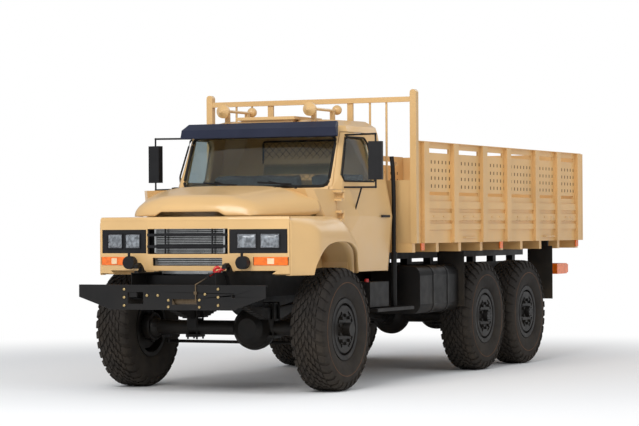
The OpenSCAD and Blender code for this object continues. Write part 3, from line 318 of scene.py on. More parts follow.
def add_node(tree: bpy.types.NodeTree, kind: str, inputs: dict, **settings: object) -> bpy.types.Node:
    """Adds a shader node.

    Args:
        tree: The node tree.
        kind: The node's type, without its first word.
        inputs: By name or number, a socket to link or a value to set.
        settings: The node's own settings.

    Returns:
        The node.
    """
    node = tree.nodes.new("ShaderNode" + kind)
    for key, value in settings.items():
        setattr(node, key, value)
    for key, value in inputs.items():
        if isinstance(value, bpy.types.NodeSocket):
            tree.links.new(value, node.inputs[key])
        else:
            node.inputs[key].default_value = value
    return node


def linear(colour: tuple[float, float, float]) -> tuple[float, float, float, float]:
    """A colour of 0 to 255 values as the linear colour that a shader takes."""
    c = [v / 255 for v in colour]
    return tuple(v / 12.92 if v <= 0.04045 else ((v + 0.055) / 1.055) ** 2.4 for v in c) + (1.0,)


@dataclass(frozen=True)
class Finish:
    """One painted, rubber, metal or glass finish with mottling, grain and road dust."""

    name: str
    slot: str
    colour: tuple[float, float, float]
    coat: Coat
    rough: float
    tone: float = 0.06
    tone_scale: float = 2.5
    grain: float = 0.05
    grain_scale: float = 320.0
    dust: float = 0.0
    dust_colour: tuple[float, float, float] = (150, 128, 98)
    dust_top: float = 1.3

    def make(self) -> bpy.types.Material:
        """Builds the node material on Object coordinates.

        Returns:
            The material.
        """
        mat = bpy.data.materials.new(self.name)
        mat.use_nodes = True
        tree = mat.node_tree
        shader = tree.nodes["Principled BSDF"]
        place = add_node(tree, "TexCoord", {}).outputs["Object"]

        def noise(scale: float, detail: float) -> bpy.types.NodeSocket:
            """A noise field of the given scale, from 0 to 1."""
            return add_node(tree, "TexNoise", {"Vector": place, "Scale": scale, "Detail": detail}).outputs["Fac"]

        def spread(value: bpy.types.NodeSocket, a: float, b: float, lo: float, hi: float) -> bpy.types.NodeSocket:
            """Maps a to lo and b to hi, smoothly."""
            ends = {"Value": value, "From Min": a, "From Max": b, "To Min": lo, "To Max": hi}
            return add_node(tree, "MapRange", ends, interpolation_type="SMOOTHSTEP").outputs["Result"]

        def mixed(amount: bpy.types.NodeSocket, a: object, b: object) -> bpy.types.NodeSocket:
            """Mixes two colours, each a socket or a colour."""
            return add_node(tree, "Mix", {0: amount, 6: a, 7: b}, data_type="RGBA").outputs[2]

        base = linear(self.colour)
        dark = tuple(v * (1 - self.tone) for v in base[:3]) + (1.0,)
        pale = tuple(min(1.0, v * (1 + self.tone)) for v in base[:3]) + (1.0,)
        colour = mixed(spread(noise(self.tone_scale, 5), 0.35, 0.65, 0, 1), dark, pale)
        if self.dust:
            height = add_node(tree, "SeparateXYZ", {0: place}).outputs["Z"]
            low = spread(height, 0.2, self.dust_top, self.dust, self.dust * 0.12)
            patches = spread(noise(6.0, 8), 0.3, 0.7, 0.35, 1)
            amount = add_node(tree, "Math", {0: low, 1: patches}, operation="MULTIPLY")
            colour = mixed(amount.outputs[0], colour, linear(self.dust_colour))
        smoothest, roughest = max(0.02, self.rough - 0.05), self.rough + 0.05
        tree.links.new(colour, shader.inputs["Base Color"])
        tree.links.new(spread(noise(self.tone_scale * 4, 4), 0.3, 0.7, smoothest, roughest),
                       shader.inputs["Roughness"])
        if self.grain:
            relief = {"Strength": self.grain, "Distance": 0.002, "Height": noise(self.grain_scale, 3)}
            tree.links.new(add_node(tree, "Bump", relief).outputs["Normal"], shader.inputs["Normal"])
        for key, value in COAT_INPUTS[self.coat].items():
            shader.inputs[key].default_value = value
        return mat


SAND = Finish("sand_gloss_paint", "sand_paint", (213, 174, 118), Coat.PAINT, 0.33, tone=0.035, tone_scale=1.2,
              grain=0.03, grain_scale=600, dust=0.10, dust_colour=(188, 154, 112))
BED = Finish("sand_satin_paint", "bed_paint", (222, 178, 117), Coat.PAINT, 0.42, tone=0.06, tone_scale=2.0,
             grain=0.05, grain_scale=420, dust=0.14, dust_colour=(170, 140, 100), dust_top=1.7)
BLACK = Finish("chassis_black_paint", "chassis_black", (17, 17, 18), Coat.MATTE, 0.46, tone=0.22, grain=0.08,
               grain_scale=260, dust=0.04)
BUMPER = Finish("bumper_black_paint", "chassis_black", (25, 25, 26), Coat.MATTE, 0.5, tone=0.10, grain=0.12,
                grain_scale=700, dust=0.03)
WHEEL = Finish("wheel_black_paint", "wheel_black", (15, 15, 16), Coat.MATTE, 0.44, tone=0.2, grain=0.06, dust=0.04)
RUBBER = Finish("tyre_rubber", "tyre_rubber", (36, 33, 31), Coat.MATTE, 0.8, tone=0.16, tone_scale=5, grain=0.25,
                grain_scale=180, dust=0.16, dust_colour=(104, 90, 72), dust_top=1.2)
RING = Finish("rust_brown_line", "tyre_rubber", (104, 74, 52), Coat.MATTE, 0.8, tone=0.2, tone_scale=9)
GLASS = Finish("window_glass", "window_glass", (222, 232, 232), Coat.GLASS, 0.04, tone=0.01, grain=0.0)
LENS = Finish("lamp_lens", "lamp_glass", (168, 174, 180), Coat.LAMP, 0.06, tone=0.45, tone_scale=26, grain=0.5,
              grain_scale=70)
MIRROR_BRIGHT = Finish("bright_reflector", "lamp_glass", (150, 152, 156), Coat.METAL, 0.12, tone=0.4, tone_scale=22,
                       grain=0.2)
ORANGE = Finish("orange_plastic", "signal_plastic", (240, 112, 26), Coat.PAINT, 0.14, tone=0.14, tone_scale=24,
                grain=0.25, grain_scale=110)
CLEAR = Finish("clear_plastic", "signal_plastic", (236, 206, 166), Coat.PAINT, 0.12, tone=0.06, tone_scale=30,
               grain=0.3, grain_scale=120)
NAVY = Finish("navy_satin_paint", "visor_paint", (36, 41, 60), Coat.MATTE, 0.42, tone=0.07, grain=0.04)
SEAT = Finish("seat_cloth", "seat_fabric", (112, 116, 122), Coat.MATTE, 0.85, tone=0.10, tone_scale=18, grain=0.6,
              grain_scale=420)
PLASTIC = Finish("black_plastic", "black_plastic", (26, 26, 28), Coat.MATTE, 0.5, tone=0.12, tone_scale=10,
                 grain=0.22, grain_scale=520)
CAST = Finish("cast_iron_grey", "cast_metal", (66, 70, 74), Coat.MATTE, 0.62, tone=0.2, tone_scale=9, grain=0.3,
              grain_scale=130, dust=0.2)
SLAT = Finish("bright_slats", "radiator_metal", (186, 188, 188), Coat.METAL, 0.32, tone=0.10, tone_scale=12,
              grain=0.06)
FLAP = Finish("flap_rubber", "flap_rubber", (22, 22, 22), Coat.MATTE, 0.7, tone=0.16, tone_scale=6, grain=0.3,
              grain_scale=140, dust=0.2)
BRASS = Finish("brass_bolts", "chassis_black", (198, 172, 122), Coat.METAL, 0.35, tone=0.12, tone_scale=60)
RED = Finish("red_paint", "chassis_black", (196, 30, 28), Coat.PAINT, 0.35, tone=0.08, tone_scale=20)
ROPE = Finish("wire_rope", "chassis_black", (112, 96, 76), Coat.METAL, 0.5, tone=0.25, tone_scale=160, grain=0.8,
              grain_scale=380)
HOLE = Finish("shaded_hole", "bed_paint", (92, 70, 44), Coat.MATTE, 0.9, tone=0.1)
DARK = Finish("dark_recess", "chassis_black", (16, 16, 17), Coat.MATTE, 0.9, tone=0.1)

MAIN_FINISHES = (SAND, BED, BLACK, WHEEL, RUBBER, GLASS, LENS, ORANGE, NAVY, SEAT, PLASTIC, CAST, SLAT, FLAP)


class Paintbox:
    """Makes each finish once and hands it out."""

    def __init__(self) -> None:
        """Starts with no finish made."""
        self.made: dict[str, bpy.types.Material] = {}

    def __call__(self, finish: Finish) -> bpy.types.Material:
        """Returns the material of a finish, made on first use."""
        if finish.name not in self.made:
            self.made[finish.name] = finish.make()
        return self.made[finish.name]


# --------------------------------------------------------------- assemblies


@dataclass
class Assembly:
    """A sub-assembly that makes its own pieces."""

    paint: Paintbox

    def piece(self, shape: Surface, name: str, finish: Finish, body: str = "chassis",
              smooth: float = 35.0) -> bpy.types.Object:
        """Makes the Blender object of a surface, which rides on a body.

        Args:
            shape: Its vertices and faces.
            name: The piece's name.
            finish: Its finish.
            body: The CAD body it moves with.
            smooth: Edges sharper than this, in degrees, stay sharp.

        Returns:
            The new object, at the origin.
        """
        mesh = bpy.data.meshes.new(name)
        mesh.from_pydata(shape.verts.tolist(), [], shape.faces)
        turn_outwards(mesh, 1e-5)
        mesh.materials.append(self.paint(finish))
        mesh.shade_smooth()
        mesh.set_sharp_from_angle(angle=math.radians(smooth))
        obj = bpy.data.objects.new(name, mesh)
        bpy.context.scene.collection.objects.link(obj)
        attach(obj, body)
        LOG.info("piece %s: %d faces on %s", name, len(shape.faces), body)
        return obj


@dataclass
class Tyre:
    """A cross-country tyre: smooth carcass, diagonal block rows and shoulder lugs."""

    radius: float = 0.564
    depth: float = 0.017
    pitches: int = 34
    lug_count: int = 34

    def carcass(self) -> Array:
        """Returns the section of the carcass as (x, r) pairs from the inner bead over the crown to the outer one."""
        half = np.array([[0.1255, 0.258], [0.127, 0.284], [0.141, 0.296], [0.156, 0.330], [0.1642, 0.380],
                         [0.1642, 0.432], [0.158, 0.480], [0.146, 0.518], [0.122, 0.541], [0.070, 0.5465],
                         [0.0, self.radius - self.depth]])
        outer = smooth_curve(half, 3)
        return np.vstack([outer * [-1, 1], outer[-2::-1]])

    def path(self, share: Array) -> tuple[Array, Array]:
        """Points and outward directions on the outer half of the tread.

        Args:
            share: 0 at the crown's middle to 1 low on the shoulder.

        Returns:
            (x, r) pairs and unit normals.
        """
        line = smooth_curve([[0.0, 0.547], [0.040, 0.547], [0.080, 0.546], [0.112, 0.543], [0.136, 0.530],
                             [0.150, 0.508], [0.158, 0.480]], 8)
        run = lengths(line)
        at = np.stack([np.interp(share, run, line[:, k]) for k in (0, 1)], -1)
        step = np.stack([np.interp(np.clip(share + 0.02, 0, 1), run, line[:, k])
                         - np.interp(np.clip(share - 0.02, 0, 1), run, line[:, k]) for k in (0, 1)], -1)
        step /= np.linalg.norm(step, axis=-1, keepdims=True)
        return at, np.stack([-step[..., 1], step[..., 0]], -1)

    def row(self, low: float, high: float, count: int, phase: float, width: float, skew: float, side: float,
            height: float, samples: int = 4) -> Surface:
        """One ring of blocks: a strip between two angles, raised along the carcass's normal.

        Args:
            low: Share of the tread path where a block starts.
            high: Where it ends.
            count: Blocks around the tyre.
            phase: Angle of the first, in pitches.
            width: A block's part of its pitch.
            skew: How far its end is turned on from its start, in pitches.
            side: 1 outboard, -1 inboard.
            height: Of the block.
            samples: Points along it.

        Returns:
            The blocks about the X axis.
        """
        share = np.linspace(low, high, samples)
        at, out = self.path(share)
        pitch = 2 * math.pi / count
        centre = (np.arange(count)[:, None] + phase + skew * (share - low)[None] / (high - low)) * pitch
        edges = np.stack([centre - width * pitch / 2, centre + width * pitch / 2], -1)
        inset = 0.06 * pitch * width
        rings = []
        for lift, shrink in ((-0.004, 0.0), (height * 0.82, 0.0), (height, inset)):
            p = at + out * lift
            ang = edges + np.array([shrink, -shrink])
            r = p[None, :, None, 1]
            rings.append(np.stack([np.broadcast_to(side * p[None, :, None, 0], ang.shape),
                                   r * np.cos(ang), r * np.sin(ang)], -1))
        verts = np.stack(rings, 1).reshape(count, -1, 3)
        level = 2 * samples
        rim = [*range(0, level, 2), *range(level - 1, 0, -2)]
        faces = [[2 * level + k for k in (i, i + 1, i + 3, i + 2)] for i in range(0, level - 2, 2)]
        faces += [[low + a, low + level + a, low + level + b, low + b]
                  for low in (0, level) for a, b in zip(rim, rim[1:] + rim[:1])]
        if side < 0:
            faces = [f[::-1] for f in faces]
        block = verts.shape[1]
        every = (np.array(faces)[None] + block * np.arange(count)[:, None, None]).reshape(-1, 4)
        return Surface(verts.reshape(-1, 3), every.tolist())

    def surface(self) -> Surface:
        """Returns carcass and tread about the origin, outboard along +X."""
        parts = [revolved(self.carcass(), (0, 0, 0), 1, 112)]
        for side in (-1.0, 1.0):
            near = 0.0 if side > 0 else 0.5
            parts += [
                self.row(0.012, 0.150, self.pitches, near, 0.70, 0.30, side, self.depth),
                self.row(0.182, 0.320, self.pitches, near + 0.50, 0.68, 0.30, side, self.depth),
                self.row(0.352, 0.500, self.pitches, near, 0.66, 0.30, side, self.depth),
                self.row(0.535, 0.760, self.pitches, near + 0.45, 0.66, 0.22, side, self.depth, 5),
                self.row(0.760, 0.975, self.lug_count, near + 0.70, 0.52, 0.06, side, 0.012, 5),
            ]
        return Surface.joined(parts)


@dataclass
class RoadWheels(Assembly):
    """All six wheels: tyres, wheel nuts and the line on each sidewall."""

    track_half: float = 1.010
    axle_z: float = 0.564
    nut_ring: float = 0.128
    disc_face: float = 0.138

    @staticmethod
    def circle(x: float, radius: float, angles: Array) -> Array:
        """Returns points at some angles round the wheel's axis."""
        return np.stack([np.full(len(angles), x), radius * np.cos(angles), radius * np.sin(angles)], -1)

    def build(self) -> None:
        """Makes the pieces of every wheel."""
        tyre = Tyre().surface()
        places = {"front": -2.700, "mid": 0.800, "rear": 2.050}
        for row, y in places.items():
            for name, sign in (("left", 1.0), ("right", -1.0)):
                place = f"{row}_{name}"
                body = f"road_wheel_{place}"
                shape = tyre if sign > 0 else tyre.mirrored()
                centre = np.array([sign * self.track_half, y, self.axle_z])
                moved = Surface(shape.verts + centre, shape.faces)
                obj = self.piece(moved, f"tread_{place}", RUBBER, body, 28)
                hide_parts(f"tyre_{place}")
                nuts = studs(centre + self.circle(sign * self.disc_face, self.nut_ring, around(10) + 0.31),
                             (sign, 0, 0), 0.017, 0.022)
                cap = studs(centre + self.circle(sign * (self.disc_face + 0.048), 0.045, around(8) + 0.3875),
                            (sign, 0, 0), 0.006, 0.006)
                ring = revolved([[0.132, 0.236], [0.140, 0.240], [0.140, 0.246], [0.132, 0.250]],
                                tuple(centre), sign, 64)
                self.piece(Surface.joined([nuts, cap, ring]), f"wheel_nuts_{place}", WHEEL, body)
                line = revolved([[0.1630, 0.4235], [0.1656, 0.4245], [0.1656, 0.4285], [0.1630, 0.4295]],
                                tuple(centre), sign, 96)
                self.piece(line, f"sidewall_line_{place}", RING, body)


@dataclass
class Bonnet(Assembly):
    """The crowned bonnet with its raised middle and the scoop under its front lip."""

    low: float = 1.604
    high: float = 1.884
    nose_share: float = 0.60
    nose_depth: float = 0.25
    scoop_rise: float = 0.038
    wall: float = 0.010
    corner_reach: float = 0.256
    across: int = 120
    along: int = 70

    def build(self) -> None:
        """Makes the bonnet on a grid of u across and v from the front lip to the cowl.

        Its height over the lower edge is a rounded arch in u, times a front that rises as a quarter ellipse and then
        climbs straight to the cowl. A low plateau with soft edges runs along the middle.
        """
        side = smooth_curve([[0.575, -3.480], [0.640, -3.415], [0.716, -3.250], [0.797, -3.060], [0.872, -2.880],
                             [0.928, -2.738]], 12)
        v = np.linspace(0, 1, self.along) ** 1.35
        side_x, side_y = (np.interp(v, lengths(side), side[:, k]) for k in (0, 1))
        middle_y = -3.569 + v * (3.569 - 2.892)
        u = crowded(self.across + 1, 1.5)
        bend = np.abs(u)[:, None] ** 2.4
        x = u[:, None] * side_x[None]
        y = middle_y[None] * (1 - bend) + side_y[None] * bend
        arch = (1 - np.abs(u) ** 3.0)[:, None] ** (0.50 - 0.24 * v[None])
        t = np.clip(v / self.nose_depth, 0, 1)
        front = self.nose_share * np.sqrt(1 - (1 - t) ** 2.2) + (1 - self.nose_share) * v
        z = self.low + (self.high - self.low) * arch * front[None]
        edge = np.clip((0.37 + 0.24 * v[None] - np.abs(x)) / 0.06, 0, 1)
        z = z - 0.006 * (1 - edge * edge * (3 - 2 * edge)) * np.clip(t[None] * 2 - 1, 0, 1) * arch
        lip = np.clip((0.372 - np.abs(x)) / 0.09, 0, 1)
        z = z + self.scoop_rise * lip * lip * (3 - 2 * lip) * np.clip(1 - v[None] / 0.10, 0, 1) ** 2
        behind = np.clip(y + 2.850, 0, None)
        z = np.maximum(z, 1.868 - np.sqrt(np.clip(self.corner_reach**2 - behind**2, 0, None)) * (behind > 0) - 9
                       * (behind <= 0))
        obj = self.piece(grid(np.stack([x, y, z], -1)), "bonnet_skin", SAND, "bonnet", 50)
        face_along(obj, (0, 0, 1))
        give_wall(obj, self.wall, -1)
        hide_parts("bonnet")
        pins = (-0.52, 0.52)
        barrels = [tube([[s - 0.02, -2.85, 1.868], [s + 0.02, -2.85, 1.868]], 0.011, 14) for s in pins]
        arms = boxes([[s, -2.868, 1.860] for s in pins], (0.04, 0.036, 0.010))
        self.piece(Surface.joined(barrels + [arms]), "bonnet_hinge_arms", BLACK, "bonnet")


@dataclass
class Fenders(Assembly):
    """Front fenders: a top and side that flare towards the wheel arch, with a rolled lip and a wheel-house liner."""

    axle_y: float = -2.700
    reach: float = 0.535
    spring: float = 0.950
    rise: float = 0.420
    round_power: float = 2.6
    low: float = 1.075
    inner: float = 0.700

    def arch(self, y: Array) -> Array:
        """Returns the height of the arch's edge at places along the truck, as a superellipse over the axle."""
        t = np.clip(np.abs(y - self.axle_y) / self.reach, 0, 1)
        return np.maximum(self.low, self.spring + self.rise * (1 - t**self.round_power) ** (1 / self.round_power))

    def build(self) -> None:
        """Makes both fenders and their markers."""
        end = self.reach * (1 - ((self.low - self.spring) / self.rise) ** self.round_power) ** (1 / self.round_power)
        t = crowded(61, 2.0)
        y = np.concatenate([np.linspace(-3.469, self.axle_y - end, 12, endpoint=False), self.axle_y + end * t])
        place = np.array([-3.470, -3.170, -2.850, -2.520, -2.280, -2.170])
        shape = {
            "top": [1.590, 1.598, 1.598, 1.598, 1.425, 1.250],
            "shoulder": [0.912, 0.950, 0.958, 0.960, 0.985, 1.005],
            "side": [0.969, 1.126, 1.128, 1.128, 1.095, 1.042],
            "fall": [0.055, 0.190, 0.205, 0.215, 0.150, 0.060],
        }
        dense = np.linspace(place[0], place[-1], 400)
        soft = np.exp(-np.linspace(-2, 2, 61) ** 2)
        soft /= soft.sum()

        def along(name: str) -> Array:
            """One of the rib sizes at every station, with its corners smoothed by a bell of weights."""
            line = np.interp(dense, place, shape[name])
            line = np.convolve(np.pad(line, 30, mode="edge"), soft, mode="valid")
            return np.interp(y, dense, line)

        top, shoulder, side, fall = (along(name) for name in shape)
        edge = self.arch(y)
        inboard = np.interp(y, [-2.86, -2.70], [0.62, 0.93])
        a = np.linspace(0, math.pi / 2, 14)
        crown_x = shoulder[:, None] + (side - shoulder)[:, None] * np.sin(a)[None] ** 1.15
        crown_z = top[:, None] - fall[:, None] * (1 - np.cos(a)[None]) ** 0.9
        knee = np.maximum(crown_z[:, -1], edge + 0.012)
        crown_z = top[:, None] + (crown_z - top[:, None]) * ((top - knee) / fall)[:, None]
        s = np.linspace(0, 1, 9)[1:]
        wall_z = knee[:, None] + (edge - knee)[:, None] * s[None]
        wall_x = np.broadcast_to(side[:, None], wall_z.shape)
        lip = np.array([[-0.004, -0.006], [-0.012, -0.008], [-0.045, -0.006]])
        flat = inboard[:, None] + (shoulder - inboard)[:, None] * np.linspace(0, 1, 4)[None, :-1]
        px = np.hstack([flat, crown_x, wall_x, side[:, None] + lip[None, :, 0]])
        pz = np.hstack([np.broadcast_to(top[:, None], flat.shape), crown_z, wall_z, edge[:, None] + lip[None, :, 1]])
        skin = grid(np.stack([px, np.broadcast_to(y[:, None], px.shape), pz], -1))
        over = np.abs(y - self.axle_y) <= end + 1e-6
        across = np.linspace(0, 1, 5)
        lx = self.inner + (side[over] - 0.044 - self.inner)[:, None] * across[None]
        lz = np.broadcast_to(edge[over][:, None] - 0.006, lx.shape)
        liner = grid(np.stack([lx, np.broadcast_to(y[over][:, None], lx.shape), lz], -1))
        for name, sign in (("left", 1), ("right", -1)):
            shell = skin if sign > 0 else skin.mirrored()
            obj = self.piece(shell, f"fender_skin_{name}", SAND, smooth=50)
            face_along(obj, (sign, 0, 0))
            give_wall(obj, 0.006, -1)
            under = liner if sign > 0 else liner.mirrored()
            house = self.piece(under, f"wheel_house_{name}", SAND, smooth=50)
            give_wall(house, 0.004, 0)
            if sign > 0:
                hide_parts("fenders")
        self.piece(studs([[1.020, -3.06, 1.525]], (0.75, -0.1, 0.55), 0.024, 0.022, 14).both(),
                   "fender_marker_bases", PLASTIC)
        self.piece(studs([[1.033, -3.062, 1.535]], (0.75, -0.1, 0.55), 0.017, 0.020, 14).both(),
                   "fender_markers", ORANGE)


@dataclass
class CabTrim(Assembly):
    """Rubber seals round the glass and the guard behind the rear window."""

    belt: float = 1.848
    gutter: float = 2.400
    guard_y: float = -1.180
    guard_mesh: float = 0.075

    def corner(self, z: Array) -> tuple[Array, Array, Array]:
        """Where the cab's front corner is, which leans back and inwards with height.

        Args:
            z: Height.

        Returns:
            The share of the way from belt to gutter, the corner's half width and its place along the truck.
        """
        share = (z - self.belt) / (self.gutter - self.belt)
        return share, 0.880 - 0.050 * share, -2.290 + 0.240 * share

    def face_y(self, x: Array, z: Array) -> Array:
        """Where the cab's bowed front is, worked out from its slope and bow.

        Args:
            x: Across the truck.
            z: Height.

        Returns:
            Position along the truck.
        """
        _, half, y0 = self.corner(z)
        bow = np.clip((np.abs(x) - 0.45 * half) / (half - 0.06 - 0.45 * half), 0, 1)
        return y0 + 0.036 * bow

    def side_x(self, y: Array, z: Array) -> Array:
        """Where the cab's side is.

        Args:
            y: Along the truck.
            z: Height.

        Returns:
            Distance from the centre.
        """
        share, front, y0 = self.corner(z)
        half = 0.952 - 0.104 * share
        return front + (half - front) * np.clip((y - y0 - 0.12) / 0.64, 0, 1)

    @staticmethod
    def rounded(corners: ArrayLike, radius: float, steps: int = 6) -> Array:
        """A closed outline with each corner cut by a quadratic arc.

        Args:
            corners: Array of shape (n, 2).
            radius: How far along each side the arc starts.
            steps: Points on an arc.

        Returns:
            Array of points.
        """
        corners = np.asarray(corners, float)
        before, after = np.roll(corners, 1, 0) - corners, np.roll(corners, -1, 0) - corners
        a = corners + radius * before / np.linalg.norm(before, axis=1, keepdims=True)
        b = corners + radius * after / np.linalg.norm(after, axis=1, keepdims=True)
        t = np.linspace(0, 1, steps)[None, :, None]
        arcs = a[:, None] * (1 - t) ** 2 + 2 * corners[:, None] * t * (1 - t) + b[:, None] * t**2
        loop = arcs.reshape(-1, 2)
        nxt = np.roll(loop, -1, 0)
        dense = [p + (q - p) * k for p, q in zip(loop, nxt)
                 for k in np.linspace(0, 1, max(1, int(np.linalg.norm(q - p) / 0.05)), endpoint=False)]
        return np.array(dense)

    def build(self) -> None:
        """Makes all the trim."""
        loop = self.rounded([[-0.771, 1.882], [0.771, 1.882], [0.764, 2.366], [-0.764, 2.366]], 0.075)
        path = np.stack([loop[:, 0], self.face_y(loop[:, 0], loop[:, 1]) - 0.003, loop[:, 1]], -1)
        self.piece(tube(path, 0.014, 10, closed=True), "windscreen_seal", FLAP, smooth=60)
        window = np.array([[-2.110, 1.930], [-1.550, 1.930], [-1.505, 1.970], [-1.530, 2.292], [-1.590, 2.352],
                           [-1.975, 2.352], [-2.135, 1.990]])
        side = self.rounded(window, 0.018, 4)
        path = np.stack([self.side_x(side[:, 0], side[:, 1]) + 0.001, side[:, 0], side[:, 1]], -1)
        seal = tube(path, 0.009, 8, closed=True)
        self.piece(seal, "door_seal_left", FLAP, "door_left", 60)
        self.piece(seal.mirrored(), "door_seal_right", FLAP, "door_right", 60)
        wires = []
        for k in np.arange(-16, 17) * self.guard_mesh:
            for slant in (1, -1):
                z = np.array([1.965, 2.335])
                x = k + slant * (z - z.mean())
                keep = np.clip(x, -0.43, 0.43)
                z = z[0] + (keep - x[0]) / (x[1] - x[0]) * (z[1] - z[0])
                if abs(keep[1] - keep[0]) > 0.02:
                    place = np.full(2, self.guard_y + 0.004 - 0.002 * slant)
                    wires.append(tube(np.stack([keep, place, z], -1), 0.0022, 5))
        frame = self.rounded([[-0.44, 1.95], [0.44, 1.95], [0.44, 2.35], [-0.44, 2.35]], 0.03)
        hoop = np.stack([frame[:, 0], np.full(len(frame), self.guard_y), frame[:, 1]], -1)
        wires.append(tube(hoop, 0.010, 8, closed=True))
        self.piece(Surface.joined(wires), "rear_window_guard", BLACK)


@dataclass
class FrontDress(Assembly):
    """Lamps, slats and bolts of the front."""

    nose_turn: float = math.radians(11.65)
    nose_corner: tuple[float, float] = (0.411, -3.585)
    nose_slope: float = 0.107 / 0.519
    lamp_x: tuple[float, float] = (0.583, 0.793)
    lamp_z: float = 1.3765
    signal: tuple[float, float] = (0.80, 1.197)
    slat_y: float = -3.532
    bumper_y: float = -3.900

    def on_nose(self, verts: Array, x: float, z: float) -> Array:
        """Turns points drawn on the plane y = 0 onto the nose panel at x, z."""
        y = self.nose_corner[1] + (abs(x) - self.nose_corner[0]) * self.nose_slope
        c, s = math.cos(self.nose_turn), math.sin(self.nose_turn)
        turned = np.stack([c * verts[:, 0] - s * verts[:, 1], s * verts[:, 0] + c * verts[:, 1], verts[:, 2]], -1)
        return turned + np.array([x, y, z])

    def bar(self, centre: Point, size: Point, x: float, z: float) -> Surface:
        """Returns a block on the nose panel at x, z."""
        block = boxes([centre], size)
        return Surface(self.on_nose(block.verts, x, z), block.faces)

    def lens(self, x: float, half_x: float, half_z: float, bulge: float, lift: float) -> Surface:
        """A domed lens on a rounded rectangle: height falls off as one minus the fourth powers of u and v."""
        u, v = np.meshgrid(np.linspace(-1, 1, 17), np.linspace(-1, 1, 13), indexing="ij")
        round_u = u * np.sqrt(1 - 0.16 * v**4)
        round_v = v * np.sqrt(1 - 0.16 * u**4)
        dome = -lift - bulge * (1 - u**4) * (1 - v**4)
        pts = np.stack([round_u * half_x, dome, round_v * half_z], -1).reshape(-1, 3)
        return grid(self.on_nose(pts, x, self.lamp_z).reshape(17, 13, 3))

    def lamps(self) -> None:
        """Makes the headlamps' lenses and rims, and the clear middles of the turn signals."""
        lenses = [self.lens(x, 0.080, 0.056, 0.014, 0.0045) for x in self.lamp_x]
        self.piece(Surface.joined(lenses).both(), "headlamp_lenses", LENS, smooth=60)
        rims = []
        for x in self.lamp_x:
            rims += [self.bar((0, -0.004, up), (0.176, 0.010, 0.007), x, self.lamp_z) for up in (0.066, -0.064)]
            rims += [self.bar((out, -0.004, 0.001), (0.007, 0.010, 0.137), x, self.lamp_z)
                     for out in (-0.0895, 0.0895)]
        self.piece(Surface.joined(rims).both(), "headlamp_rims", PLASTIC)
        clear = self.bar((0, -0.007, 0), (0.062, 0.006, 0.052), *self.signal)
        self.piece(clear.both(), "signal_clear_middles", CLEAR)

    def nose_edge(self) -> None:
        """Makes the rolled edge over the nose: a quarter circle carried along the panel's plan."""
        plan = np.array([[0.0, -3.605], self.nose_corner, [0.930, -3.478], [0.966, -3.472]])
        across = np.linspace(-0.966, 0.966, 121)
        line = np.stack([across, np.interp(np.abs(across), plan[:, 0], plan[:, 1])], -1)
        ahead = np.gradient(line, axis=0)
        out = np.stack([ahead[:, 1], -ahead[:, 0]], -1) / np.linalg.norm(ahead, axis=1, keepdims=True)
        turn, radius = np.linspace(0, math.pi / 2, 9), 0.026
        depth = np.concatenate([[-0.012, 0.0015], radius * np.cos(turn) - 0.0245, [-0.036, -0.036]])
        rise = np.concatenate([[1.562, 1.562], 1.5715 + radius * np.sin(turn), [1.5975, 1.588]])
        flat = line[:, None, :] + out[:, None, :] * depth[None, :, None]
        high = np.broadcast_to(rise[None, :, None], flat.shape[:2] + (1,))
        edge = grid(np.concatenate([flat, high], -1), False, True)
        self.piece(edge, "nose_edge", SAND, smooth=50)

    def grille(self) -> None:
        """Makes the radiator's bright slats between their side frames, and the dark behind them."""
        z = np.concatenate([np.arange(1.272, 1.488, 0.0165), np.arange(1.164, 1.226, 0.0155)])
        slats = boxes(np.stack([np.zeros_like(z), np.full_like(z, self.slat_y), z], -1), (0.70, 0.014, 0.0062))
        frames = boxes([[x, self.slat_y, up] for up in (1.38, 1.193) for x in (-0.352, 0.352)],
                       [[0.018, 0.02, tall] for tall in (0.215, 0.215, 0.07, 0.07)])
        self.piece(Surface.joined([slats, frames]), "radiator_slats", SLAT)
        self.piece(boxes([[0, -3.50, 1.33]], (0.96, 0.010, 0.36)), "grille_dark", DARK)

    def hook(self) -> None:
        """Makes the winch's hook and its latch."""
        bend = smooth_curve([[0.452, -3.676, 1.160], [0.440, -3.700, 1.150], [0.418, -3.716, 1.128],
                             [0.396, -3.728, 1.104], [0.372, -3.742, 1.098], [0.360, -3.750, 1.118],
                             [0.372, -3.744, 1.140], [0.398, -3.728, 1.148]], 6)
        latch = tube([[0.398, -3.726, 1.146], [0.424, -3.708, 1.118]], 0.006, 8)
        self.piece(Surface.joined([tube(bend, 0.014, 12), latch]), "winch_hook", RED, smooth=60)

    def build(self) -> None:
        """Makes the front's small pieces."""
        self.lamps()
        self.nose_edge()
        self.grille()
        self.hook()
        bolts = [(-0.237, 0.897), (-0.126, 0.898), (-0.019, 0.856), (-0.020, 0.797), (0.293, 0.859), (0.349, 0.911),
                 (0.293, 0.797), (-0.471, 0.951), (-0.471, 0.879), (-0.471, 0.806), (0.480, 0.957), (0.480, 0.886),
                 (0.480, 0.814)]
        heads = studs([[x, self.bumper_y, z] for x, z in bolts], (0, -1, 0), 0.0125, 0.012, 8)
        self.piece(heads, "bumper_bolts", BRASS)


@dataclass
class Pole(Assembly):
    """The thin dark pole behind the cab's left corner."""

    radius: float = 0.021

    def build(self) -> None:
        """Makes the pole as a tube along a slightly bent line."""
        line = smooth_curve([[0.930, -1.118, 2.184], [0.944, -1.122, 2.060], [0.952, -1.122, 1.820],
                             [0.952, -1.122, 1.500], [0.950, -1.122, 1.100], [0.950, -1.122, 0.723]], 8)
        pole = Surface.joined([tube(line, self.radius, 20), tube(line[-12:], self.radius * 1.35, 20)])
        obj = self.piece(pole, "intake_pole", BLACK, smooth=60)
        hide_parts("intake_pipe")


